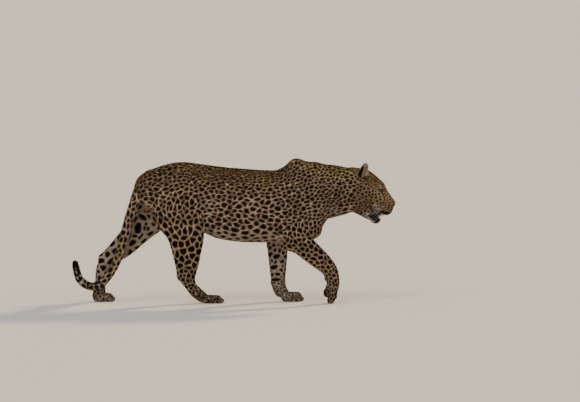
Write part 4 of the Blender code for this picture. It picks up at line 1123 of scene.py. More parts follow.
def ground_colour(p, n, pl):
    x, z = p[:, 0] * 1000, p[:, 2] * 1000
    f, y, u = head_place(p)
    t = ramp(z, 330, 640)
    base = TAN_LOW + (TAN_SIDE - TAN_LOW) * ramp(z, 260, 430)[:, None]
    base = base + (TAN_TOP - base) * (ramp(n[:, 2], -0.1, 0.75) * ramp(z, 380, 560))[:, None]
    pale = ramp(-n[:, 2], 0.15, 0.8) * (pl.share("trunk") + pl.share("neck")) * 0.55
    pale = np.maximum(pale, 0.62 * inner_side(p, n, pl))
    pale = np.maximum(pale, 0.12 * pl.legs() * (1 - ramp(z, 30, 260)))
    tail_under = pl.share("tail") * ramp(pl.along[:, 6], 0.5, 0.95) * 0.6
    pale = np.maximum(pale, tail_under)
    # head: orange brow and cheek, pale chin, lip, throat and patch under the eye
    head = pl.head
    col = base + (ORANGE - base) * (head * 0.55 + 0.25 * pl.share("neck") * ramp(-n[:, 2], -0.4, 0.4))[:, None]
    chin = ramp(-u, 84, 108) * ramp(f, 30, 84) + 0.28 * ramp(f, 95, 130) * ramp(-u, 8, 26)
    under = np.exp(-(((f - 60) / 22) ** 2 + ((u - 16) / 8) ** 2)) * 0.25 + np.exp(-(((f - 50) / 14) ** 2 + ((u - 62) / 5) ** 2)) * 0.5 + np.exp(-(((f - 91) / 12) ** 2 + ((u - 37) / 5) ** 2)) * 0.4
    ears = ear_share(p)
    headp = np.clip(chin * 0.9 + under, 0, 0.95)
    headp = np.maximum(headp, ears * 0.25)
    # painted shade: deep in the hollow of each ear the colour is darkened, more the deeper into the cup
    ear_hollow_shade = np.zeros(len(p), np.float32)
    for q in (-1, 1):
        a, b, c = ear_place(p, q)
        ear_hollow_shade = np.maximum(ear_hollow_shade, ears * np.exp(-(((a - 4) / 24) ** 2 + (b / 16) ** 2)) * ramp(-c, -7, 3) * ((n @ EAR_OUT[q].astype(np.float32)) > 0.1))
    pale = np.maximum(pale * (1 - head), 0) + headp * head
    throat = pl.share("neck") * ramp(-n[:, 2], -0.1, 0.6)
    pale = np.maximum(pale, throat * 0.42)
    out = col + (WHITE - col) * np.clip(pale, 0, 1)[:, None]
    out = out + (srgb(152, 130, 104) - out) * (0.8 * ears * head)[:, None]
    # painted shade in the ear's hollow, towards a dark brown
    out = out + (srgb(92, 70, 54) - out) * (0.9 * ear_hollow_shade * head)[:, None]
    return out, pale


def bare_share(p, n):
    """Lips, gums, nose, foot pads: (share, colour)."""
    p = np.asarray(p, np.float32)
    f, y, u = head_place(p)
    head = (p[:, 0] > 0.57) & (p[:, 2] > 0.38)
    share = np.zeros(len(p), np.float32)
    col = np.tile(LIP, (len(p), 1)).astype(np.float32)
    idx = np.flatnonzero(head)
    q = p[idx]
    m = MOUTH.dist(q) * 1000
    lip = 1 - ramp(m, 1.6, 3.4)
    gum = (1 - ramp(m, 0.2, 1.6))
    share[idx] = np.where(f[idx] > 60, lip, 0)
    col[idx] = mix(LIP, GUM, (gum * ramp(158 - f[idx], 0, 14) * (1 - ramp(np.abs(y[idx]), 17, 22)))[:, None])
    nose = (1 - ramp(NOSE.dist(q) * 1000, 0.4, 2.0)) * ramp(f[idx], 146, 152)
    cleft = (1 - ramp(np.hypot(y[idx], 0), 1.5, 3.2)) * ramp(f[idx], 150, 156) * ramp(-u[idx], 8, 14) * (1 - ramp(-u[idx], 40, 46))
    share[idx] = np.maximum(share[idx], np.maximum(nose, cleft))
    share[idx] = np.maximum(share[idx], 1 - ramp(eye_ring(q), 0.98, 1.1))
    pad = np.zeros(len(p), np.float32)
    low = np.flatnonzero(p[:, 2] < 0.09)
    if len(low):
        q, nn = p[low], n[low]
        d = np.full(len(low), 99.0)
        for ball in PADS:
            d = np.minimum(d, ball.dist(q) * 1000)
        pad[low] = (1 - ramp(d, 0.8, 2.6)) * ramp(-(nn[:, 2] * 0.8 - 0.5 * (nn[:, 0] < -0.2)), -0.05, 0.35)
        pad[low] = np.maximum(pad[low], 1 - ramp(q[:, 2] * 1000, 0.6, 2.2))
    col = np.where((pad > share)[:, None], PAD, col)
    return np.maximum(share, pad), col


# large single marks on the inner sides of the far legs: (leg, x, z, half length, half height, tilt)
INNER_MARKS = (
    ("hind_left", -466, 355, 30, 16, 78), ("hind_left", -444, 406, 23, 12, -35), ("hind_left", -427, 375, 9, 8, 90), ("hind_left", -418, 352, 12, 8, 80), ("hind_left", -482, 316, 13, 9, 0),
    ("fore_left", 172, 226, 13, 12, 0), ("fore_left", 198, 217, 18, 12, 15), ("fore_left", 187, 165, 18, 11, 20), ("fore_left", 205, 132, 14, 8, 0), ("fore_left", 196, 106, 24, 8, 4),
)


def inner_marks(p, n, pl, s):
    x, z = p[:, 0] * 1000, p[:, 2] * 1000
    for leg, cx, cz, a, b, tilt in INNER_MARKS:
        on = (pl.share(leg) > 0.5) & (n[:, 1] < 0.25)
        c, k = math.cos(math.radians(tilt)), math.sin(math.radians(tilt))
        u, v = (x - cx) * c + (z - cz) * k, (z - cz) * c - (x - cx) * k
        rho = np.sqrt((u / a) ** 2 + (v / b) ** 2) + 0.10 * waver(p, 14, 3, 6)
        d = (1 - rho) * min(a, b)
        s = np.where(on & (rho < 1.45), np.minimum(s, -1.0 + 0 * d), s)
        s = np.where(on, np.maximum(s, d), s)
    return s


def paint(p, n, pl, blot):
    """Colour of the coat and the signed distance into the black marks, at every point."""
    s, brown = blot.read(p, n)
    s = s + ((0.45 - 0.06 * ramp(p[:, 0], 0.17, 0.30) * (1 - pl.legs())) * (1 - pl.head)).astype(np.float32)
    s = inner_marks(p, n, pl, tail_marks(p, pl, face_marks(p, n, s)))
    # painted highlight: the tail's side turned towards the head gets fewer black marks and a lighter ground
    edge = pl.share("tail") * ramp(n[:, 0], 0.2, 0.8) * ramp(p[:, 2], 0.16, 0.22)
    s = s - 2.4 * edge
    ground, pale = ground_colour(p, n, pl)
    f_, y_, u_ = head_place(p)
    shade = 1 + 0.07 * waver(p, 60, 8, 5) + 0.05 * waver(p, 14, 14, 5)
    # the line above is random tone of the coat; the next two lines are painted shade: the muzzle darkened by a further
    # 14 %, and the whole head but the ears and the pale underside of the jaw by 48 %
    shade = shade * (1 - 0.14 * pl.head * ramp(f_, 50, 110) * (1 - ramp(-u_, 84, 108)))
    shade = shade * (1 - 0.48 * pl.head * (1 - ear_share(p)) * (1 - ramp(-u_, 84, 108) * ramp(f_, 30, 84)))
    # painted shade: the lower legs and feet darkened by up to 34 % towards the floor, and the far legs by 20 % except
    # on their outer sides
    shade = shade * (1 - 0.34 * pl.legs() * (1 - ramp(p[:, 2], 0.03, 0.16))) * (1 - 0.20 * (pl.share("fore_left") + pl.share("hind_left")) * (n[:, 1] < 0.2))
    # painted shade in the grooves between the toes, darkened by up to 62 %
    gap = toe_gap(p)
    ground = ground * (shade * (1 - 0.62 * gap))[:, None]
    ground = ground + (BROWN - ground) * (0.55 * brown * (1 - pale) * (1 - pl.head))[:, None]
    ball = np.linalg.norm((p * 1000 - np.array((-421, 0, 461), np.float32)) / np.array((28, 27, 32), np.float32), axis=1)
    # painted highlight along the tail's front side, mixed towards a pale cream
    ground = ground + (srgb(226, 202, 172) - ground) * (0.55 * edge)[:, None]
    sack = 1 - ramp(ball, 0.92, 1.12)
    # painted shade: a dark ring round the scrotum, down to 30 % of the ground colour, for the shadowed crease round it
    ground = ground * (1 - 0.7 * ramp(ball, 1.08, 1.2) * (1 - ramp(ball, 1.3, 1.7)))[:, None]
    ochre = np.exp(-(((p[:, 0] * 1000 + 362) / 56) ** 2 + (p[:, 1] * 1000 / 42) ** 2 + ((p[:, 2] * 1000 - 388) / 36) ** 2))
    s = s - 6 * sack - 3 * ochre
    ground = ground + (srgb(204, 168, 122) - ground) * sack[:, None]
    ground = ground + (srgb(206, 154, 86) - ground) * (0.9 * np.clip(ochre, 0, 1))[:, None]
    jowl = np.exp(-(((p[:, 0] * 1000 - 536) / 40) ** 2 + ((p[:, 2] * 1000 - 474) / 34) ** 2))
    # where this ochre patch reaches the head it is darkened by 45 % as painted shade, like the rest of the head
    ground = ground + (srgb(206, 156, 96) * (1 - 0.45 * pl.head)[:, None] - ground) * (0.6 * jowl)[:, None]
    k = ramp(s, -0.8, 0.6)
    col = ground + (BLACK * (1 + 0.25 * waver(p, 9, 2, 4))[:, None] - ground) * (k * 0.985)[:, None]
    return np.clip(col, 0.002, 1).astype(np.float32), s


# ---------------------------------------------------------------- materials

def shader(name):
    m = bpy.data.materials.new(name)
    m.use_nodes = True
    t = m.node_tree
    return m, t, t.nodes["Principled BSDF"]


def node(t, kind, **values):
    n = t.nodes.new(kind)
    for k, v in values.items():
        if k in n.inputs:
            n.inputs[k].default_value = v
        else:
            setattr(n, k, v)
    return n


def fur_material(name, bump=0.25, strands=260.0):
    """Colour from the markings, with fine streaks and a fine bump."""
    m, t, p = shader(name)
    col = node(t, "ShaderNodeAttribute", attribute_name="coat")
    at = node(t, "ShaderNodeTexCoord")
    fine = node(t, "ShaderNodeTexNoise", Scale=strands, Detail=3.0, Roughness=0.6)
    wide = node(t, "ShaderNodeTexNoise", Scale=14.0, Detail=2.0, Roughness=0.5)
    t.links.new(at.outputs["Object"], fine.inputs["Vector"])
    t.links.new(at.outputs["Object"], wide.inputs["Vector"])
    val = node(t, "ShaderNodeMapRange")
    val.inputs["From Min"].default_value = 0.3
    val.inputs["From Max"].default_value = 0.7
    val.inputs["To Min"].default_value = 0.87
    val.inputs["To Max"].default_value = 1.13
    t.links.new(fine.outputs["Fac"], val.inputs["Value"])
    val2 = node(t, "ShaderNodeMapRange")
    val2.inputs["From Min"].default_value = 0.3
    val2.inputs["From Max"].default_value = 0.7
    val2.inputs["To Min"].default_value = 0.92
    val2.inputs["To Max"].default_value = 1.06
    t.links.new(wide.outputs["Fac"], val2.inputs["Value"])
    mul = node(t, "ShaderNodeMath", operation="MULTIPLY")
    t.links.new(val.outputs["Result"], mul.inputs[0])
    t.links.new(val2.outputs["Result"], mul.inputs[1])
    hsv = node(t, "ShaderNodeHueSaturation")
    t.links.new(col.outputs["Color"], hsv.inputs["Color"])
    t.links.new(mul.outputs["Value"], hsv.inputs["Value"])
    t.links.new(hsv.outputs["Color"], p.inputs["Base Color"])
    p.inputs["Roughness"].default_value = 0.62
    p.inputs["Specular IOR Level"].default_value = 0.06
    p.inputs["Sheen Weight"].default_value = 0.0
    p.inputs["Sheen Roughness"].default_value = 0.45
    p.inputs["Sheen Tint"].default_value = (1.0, 0.86, 0.62, 1)
    b = node(t, "ShaderNodeBump", Strength=bump, Distance=0.0012)
    t.links.new(fine.outputs["Fac"], b.inputs["Height"])
    t.links.new(b.outputs["Normal"], p.inputs["Normal"])
    return m


def skin_material():
    m = fur_material("skin", 0.35, 420.0)
    t = m.node_tree
    p = t.nodes["Principled BSDF"]
    # lips, pads and rims are bare: smoother and a little wet
    bare = node(t, "ShaderNodeAttribute", attribute_name="bare")
    r = node(t, "ShaderNodeMapRange")
    r.inputs["To Min"].default_value = 0.75
    r.inputs["To Max"].default_value = 0.38
    t.links.new(bare.outputs["Fac"], r.inputs["Value"])
    t.links.new(r.outputs["Result"], p.inputs["Roughness"])
    return m


def plain(name, colour, rough, coat=0.0, scale=300.0, dark=0.75, bump=0.3, distance=0.0006, spec=0.5, cells=False):
    m, t, p = shader(name)
    at = node(t, "ShaderNodeTexCoord")
    if cells:
        n = node(t, "ShaderNodeTexVoronoi", Scale=scale)
        out = n.outputs["Distance"]
    else:
        n = node(t, "ShaderNodeTexNoise", Scale=scale, Detail=4.0, Roughness=0.6)
        out = n.outputs["Fac"]
    t.links.new(at.outputs["Object"], n.inputs["Vector"])
    c = node(t, "ShaderNodeMix", data_type="RGBA")
    c.inputs["A"].default_value = tuple(np.array(colour) * dark) + (1,)
    c.inputs["B"].default_value = tuple(np.minimum(np.array(colour) * 1.12, 1)) + (1,)
    t.links.new(out, c.inputs["Factor"])
    t.links.new(c.outputs["Result"], p.inputs["Base Color"])
    b = node(t, "ShaderNodeBump", Strength=bump, Distance=distance)
    t.links.new(out, b.inputs["Height"])
    t.links.new(b.outputs["Normal"], p.inputs["Normal"])
    p.inputs["Roughness"].default_value = rough
    p.inputs["Specular IOR Level"].default_value = spec
    p.inputs["Coat Weight"].default_value = coat
    p.inputs["Coat Roughness"].default_value = 0.08
    return m


def iris_material():
    """Round pupil, olive-gold iris with fine spokes, dark edge."""
    m, t, p = shader("eye")
    ang = node(t, "ShaderNodeAttribute", attribute_name="turn")
    spokes = node(t, "ShaderNodeAttribute", attribute_name="round")
    at = node(t, "ShaderNodeTexNoise", noise_dimensions="2D", Scale=9.0, Detail=3.0)
    comb = node(t, "ShaderNodeCombineXYZ")
    t.links.new(spokes.outputs["Fac"], comb.inputs["X"])
    k = node(t, "ShaderNodeMath", operation="MULTIPLY")
    k.inputs[1].default_value = 0.35
    t.links.new(ang.outputs["Fac"], k.inputs[0])
    t.links.new(k.outputs["Value"], comb.inputs["Y"])
    t.links.new(comb.outputs["Vector"], at.inputs["Vector"])
    r = node(t, "ShaderNodeValToRGB")
    e = r.color_ramp.elements
    e[0].position, e[0].color = 0.0, (0.004, 0.004, 0.004, 1)
    e[1].position, e[1].color = 1.0, (0.05, 0.03, 0.02, 1)
    for at_, c in ((0.150, (0.002, 0.002, 0.002, 1)), (0.172, (0.16, 0.10, 0.02, 1)), (0.30, (0.42, 0.32, 0.09, 1)), (0.44, (0.34, 0.30, 0.10, 1)), (0.52, (0.14, 0.11, 0.04, 1)), (0.56, (0.01, 0.008, 0.006, 1)), (0.62, (0.10, 0.06, 0.045, 1))):
        x = e.new(at_)
        x.color = c
    t.links.new(ang.outputs["Fac"], r.inputs["Fac"])
    mixn = node(t, "ShaderNodeMix", data_type="RGBA", blend_type="MULTIPLY")
    mixn.inputs["Factor"].default_value = 0.5
    bright = node(t, "ShaderNodeMapRange")
    bright.inputs["From Min"].default_value = 0.3
    bright.inputs["From Max"].default_value = 0.7
    bright.inputs["To Min"].default_value = 0.5
    bright.inputs["To Max"].default_value = 1.5
    t.links.new(at.outputs["Fac"], bright.inputs["Value"])
    t.links.new(r.outputs["Color"], mixn.inputs["A"])
    t.links.new(bright.outputs["Result"], mixn.inputs["B"])
    t.links.new(mixn.outputs["Result"], p.inputs["Base Color"])
    p.inputs["Roughness"].default_value = 0.35
    p.inputs["Specular IOR Level"].default_value = 0.1
    p.inputs["Coat Weight"].default_value = 0.7
    p.inputs["Coat Roughness"].default_value = 0.02
    return m


# ---------------------------------------------------------------- small parts of the head

def eyeball(s):
    c, look = H(EYE[0], s * EYE[1], EYE[2]) * 0.001, eye_look(s)
    side = unit(np.cross(HU, look))
    up = np.cross(look, side)
    verts, faces, turn, rnd = [], [], [], []
    rings_n, sides = 40, 48
    R = EYE_R * 0.001
    for i in range(rings_n + 1):
        a = math.pi * i / rings_n
        a = a * 0.62 + 0.38 * a * a / math.pi
        bulge = 1 + 0.045 * math.exp(-(a / 0.42) ** 2)
        for j in range(sides):
            b = 2 * math.pi * j / sides
            d = math.cos(a) * look + math.sin(a) * (math.cos(b) * side + math.sin(b) * up)
            verts.append(c + d * R * bulge)
            turn.append(a / 1.35)
            rnd.append(b)
    for i in range(rings_n):
        for j in range(sides):
            k = (j + 1) % sides
            faces.append((i * sides + j, (i + 1) * sides + j, (i + 1) * sides + k, i * sides + k))
    name = "eyeball_" + ("left" if s > 0 else "right")
    ob = new_object(name, np.array(verts), np.array(faces))
    give(ob, "turn", np.clip(turn, 0, 1))
    give(ob, "round", rnd)
    return ob


def lids(s):
    """Thick dark-edged lids round an almond opening, sliding under the skin."""
    c, look = H(EYE[0], s * EYE[1], EYE[2]), eye_look(s)
    side = unit(np.cross(HU, look)) * s          # towards the temple
    up = np.cross(look, side) * s
    sides = 56
    bands = [(0.0, 15.60), (0.008, 16.05), (0.03, 16.5), (0.07, 16.7), (0.12, 16.6), (0.20, 16.2), (0.32, 15.4)]
    verts, faces, cols, bare = [], [], [], []
    for k, (grow, rad) in enumerate(bands):
        for j in range(sides):
            t = 2 * math.pi * j / sides
            ct, st = math.cos(t), math.sin(t)
            a = 0.74 * ct - (0.10 * max(-ct, 0) ** 6)
            b = (0.36 if st > 0 else 0.35) * st * (1 - 0.25 * abs(ct) ** 3) - 0.10 * max(-ct, 0) ** 3 + 0.05 * ct
            l = math.hypot(a, b)
            a, b = a * (1 + grow / l), b * (1 + grow / l)
            d = look * math.cos(math.hypot(a, b)) + (side * a + up * b) / max(math.hypot(a, b), 1e-6) * math.sin(math.hypot(a, b))
            verts.append((c + d * rad) * 0.001)
            dark = 1 - float(ramp(grow, 0.10, 0.20))
            cols.append(mix(np.array(srgb(104, 78, 56)), np.array(LIP), dark))
            bare.append(dark)
    for k in range(len(bands) - 1):
        for j in range(sides):
            a, b = k * sides + j, k * sides + (j + 1) % sides
            faces.append((a, b, b + sides, a + sides) if s > 0 else (b, a, a + sides, b + sides))
    ob = new_object("lids_" + ("left" if s > 0 else "right"), np.array(verts), np.array(faces))
    give(ob, "coat", np.array(cols), "FLOAT_COLOR")
    give(ob, "bare", np.array(bare))
    return ob


def nose_pad():
    f = Field()
    f.add(hrod((154.5, -9, 6.5), (154.5, 9, 6.5), 9.0, 9.0), 1)
    f.add(hball(155, 0, 0, (11.5, 12, 14)), 5)
    f.both(lambda s: hball(150, s * 15, 2.5, (10, 6.5, 7.5)), 5)
    f.add(hrod((161.5, 0, -6), (161.5, 0, -16), 5.0, 2.8), 4)
    f.both(lambda s: hball(165.5, s * 8.6, -1.5, (8.0, 4.0, 3.9)), 2.2, "cut")
    f.both(lambda s: hrod((161, s * 12, -3.0), (150, s * 22.5, -6.5), 2.6, 1.6), 2.0, "cut")
    f.cut(hrod((167.5, 0, 4), (166, 0, -22), 0.8, 1.1), 1.5)
    lo, hi = f.box()
    lo, hi = lo - 0.006, hi + 0.006
    h = 0.0011
    n = np.ceil((hi - lo) / h).astype(int) + 1
    pts, quads = surface(f.on_grid(lo, h, n) + np.float32(0.0006), lo, h)
    tris = to_tris(pts, quads)
    pts = smooth(pts.astype(np.float64), tris, np.ones(len(pts)), 3)
    if (np.cross(pts[tris[:, 0]], pts[tris[:, 1]]) * pts[tris[:, 2]]).sum() < 0:
        tris = tris[:, ::-1]
    return new_object("nose_leather", pts, tris)


def cones(name, rows):
    """Teeth: (root, tip, bend, radius along, radius across, axis across)."""
    verts, faces = [], []
    sides, steps = 12, 7
    for root, tip, bend, ra, rb, side in rows:
        root, tip, bend = np.asarray(root, float), np.asarray(tip, float), np.asarray(bend, float)
        axis = unit(tip - root)
        e1 = unit(np.cross(side, axis))
        e2 = np.cross(axis, e1)
        first = len(verts)
        for i in range(steps):
            t = i / (steps - 1) * 0.96
            c = root + (tip - root) * t + bend * (4 * t * (1 - t))
            w = (1 - t ** 1.5) * (1 + 0.12 * math.sin(math.pi * min(t * 2.2, 1)))
            for j in range(sides):
                a = 2 * math.pi * j / sides
                verts.append((c + (e1 * ra * math.cos(a) + e2 * rb * math.sin(a)) * max(w, 0.06)) * 0.001)
        verts.append(tip * 0.001)
        verts.append(root * 0.001)
        for i in range(steps - 1):
            for j in range(sides):
                k = (j + 1) % sides
                a, b = first + i * sides, first + (i + 1) * sides
                faces += [(a + j, a + k, b + k), (a + j, b + k, b + j)]
        last = first + (steps - 1) * sides
        for j in range(sides):
            k = (j + 1) % sides
            faces.append((last + j, last + k, len(verts) - 2))
            faces.append((first + k, first + j, len(verts) - 1))
    return new_object(name, np.array(verts), np.array(faces))


def make_teeth():
    rows = []
    up, front = np.zeros(3), HF
    for s in (-1, 1):
        rows.append((H(138.5, s * 20, -50), H(137, s * 18.5, -84), 2.0 * HF, 5.0, 4.2, HS))
        rows.append((H(127.5, s * 15, -98), H(126, s * 16, -73.5), 1.6 * HF, 4.2, 3.6, HS))
        for i, y in enumerate((2.6, 7.2, 11.6)):
            rows.append((H(147 - 0.25 * y * y * 0.12, s * y, -57), H(146 - 0.25 * y * y * 0.12, s * y, -64 - i * 0.8), up, 2.0, 2.2, HS))
            rows.append((H(137 - 0.02 * y * y, s * y * 0.82, -92), H(138.5 - 0.02 * y * y, s * y * 0.82, -86), up, 1.6, 1.8, HS))
        for f, h, r in ((122, 6, 3.6), (110, 11, 6.0), (95, 12, 8.0)):
            rows.append((H(f, s * (22 + (122 - f) * 0.16), -63), H(f, s * (22 + (122 - f) * 0.16), -66 - h), up, r, 3.2, HS))
        for f, h, r in ((114, 6, 4.0), (102, 9, 5.5), (88, 10, 7.0)):
            rows.append((H(f, s * (19 + (114 - f) * 0.14), -99), H(f, s * (19 + (114 - f) * 0.14), -95 + h), up, r, 2.8, HS))
    return cones("teeth", rows)


def make_tongue():
    verts, faces = [], []
    n, sides = 40, 28
    for i in range(n + 1):
        t = i / n
        fx = 62.5 + 71 * t
        u = -90 + 6.5 * math.sin(math.pi * min(t * 1.1, 1.0)) + 3.0 * t
        w = 20.6 * math.sqrt(max(1 - max((t - 0.45) / 0.55, 0) ** 2.2, 0)) * (0.8 + 0.2 * min(t * 4, 1))
        h = 7.1 * math.sqrt(max(1 - max((t - 0.6) / 0.4, 0) ** 2.4, 0.02))
        if i == n:
            w, h = 0.6, 0.5
        for j in range(sides):
            a = 2 * math.pi * j / sides
            y, z = math.cos(a) * w, math.sin(a) * h
            if z > 0:
                z -= 2.2 * math.exp(-(y / 3.5) ** 2) * (1 - t * 0.6)       # groove
            verts.append(H(fx, y, u + z) * 0.001)
    for i in range(n):
        for j in range(sides):
            k = (j + 1) % sides
            a, b = i * sides, (i + 1) * sides
            faces += [(a + j, b + j, b + k), (a + j, b + k, a + k)]
    k = len(verts)
    verts.append(H(62.5, 0, -90) * 0.001)
    verts.append(H(133.6, 0, -86) * 0.001)
    for j in range(sides):
        faces.append((j, (j + 1) % sides, k))
        faces.append((n * sides + (j + 1) % sides, n * sides + j, k + 1))
    return new_object("tongue_flesh", np.array(verts), np.array(faces))


def hairs(name, rows, colour):
    """Long single hairs: (root, start direction, bend, length, thickness)."""
    verts, faces, cols = [], [], []
    steps = 9
    for root, way, bend, length, thick in rows:
        way, bend = unit(way), np.asarray(bend, float)
        e1 = unit(np.cross(way, (0.31, 0.77, 0.55)))
        e2 = np.cross(way, e1)
        first = len(verts)
        for i in range(steps):
            t = i / (steps - 1)
            c = np.asarray(root) + way * length * t + bend * length * t * t
            r = thick * (1 - 0.9 * t)
            for j in range(4):
                a = math.pi * j / 2
                verts.append((c + (e1 * math.cos(a) + e2 * math.sin(a)) * r) * 0.001)
        for i in range(steps - 1):
            for j in range(4):
                k = (j + 1) % 4
                a, b = first + i * 4, first + (i + 1) * 4
                faces += [(a + j, a + k, b + k), (a + j, b + k, b + j)]
    return new_object(name, np.array(verts), np.array(faces))


def make_whiskers():
    rows = []
    g = np.random.default_rng(5)
    for s in (-1, 1):
        for row in range(4):
            for col in range(5):
                f0, u0 = 146 - 9.5 * col - 2 * row, -17 - 8.2 * row + 1.2 * col
                root = H(f0, s * (29 + 4 * col ** 0.5 + 2 * (row == 2)), u0)
                drop = row / 3.0
                way = (-0.55 + 0.35 * drop) * HF + s * 0.60 * HS - (0.35 + 0.42 * drop) * HU + 0.08 * g.normal(size=3)
                bend = -0.22 * HF - s * 0.16 * HS - 0.30 * HU
                rows.append((root, way, bend, g.uniform(58, 92) * (1 - 0.05 * col), 0.50))
        for i in range(3):
            root = H(60 + 6 * i, s * (28 + 2 * i), 64.5 - 1.0 * i)
            way = 0.86 * HF + s * (0.22 + 0.05 * i) * HS + (0.55 - 0.12 * i) * HU
            rows.append((root, way, -0.06 * HF + 0.03 * s * HS - 0.08 * HU, g.uniform(34, 48), 0.36))
    return hairs("whiskers", rows, None)


# ---------------------------------------------------------------- coat

def tuft_size(p, n, pl):
    """(length, width, height of the tip over the skin) in mm."""
    f, y, u = head_place(p)
    z = p[:, 2] * 1000
    W = pl.w
    belly = ramp(-n[:, 2], 0.2, 0.8)
    body = 11.5 + 5.0 * belly
    neck = 12.0 + 4.0 * belly
    leg = 7.5 + 2.5 * ramp(z, 200, 420) - 3.0 * (1 - ramp(z, 30, 100))
    tail = 12.5
    muzzle = ramp(f, 40, 110)
    face = mix(6.2, 3.4, muzzle) + 3.0 * ramp(-u, 60, 110) * (1 - muzzle) + 2.0 * ramp(-f, -20, 40)
    ears = ear_share(p)
    face = mix(face, 4.6, ears)
    for q in (-1, 1):
        a, b, c = ear_place(p, q)
        mouth = ears * ramp(-a, -14, 16) * ((n @ EAR_OUT[q].astype(np.float32)) > 0.0) * (np.abs(b) < 26)
        face = mix(face, 13.0, mouth)
    length = W[:, 0] * body + W[:, 1] * neck + (W[:, 2:6].sum(1)) * leg + W[:, 6] * tail + W[:, 7] * face
    width = 1.15 + 0.10 * length
    rise = coat_depth(p) * 1000 * 0.70 * (1 - 0.6 * toe_gap(p))
    return length, width, rise


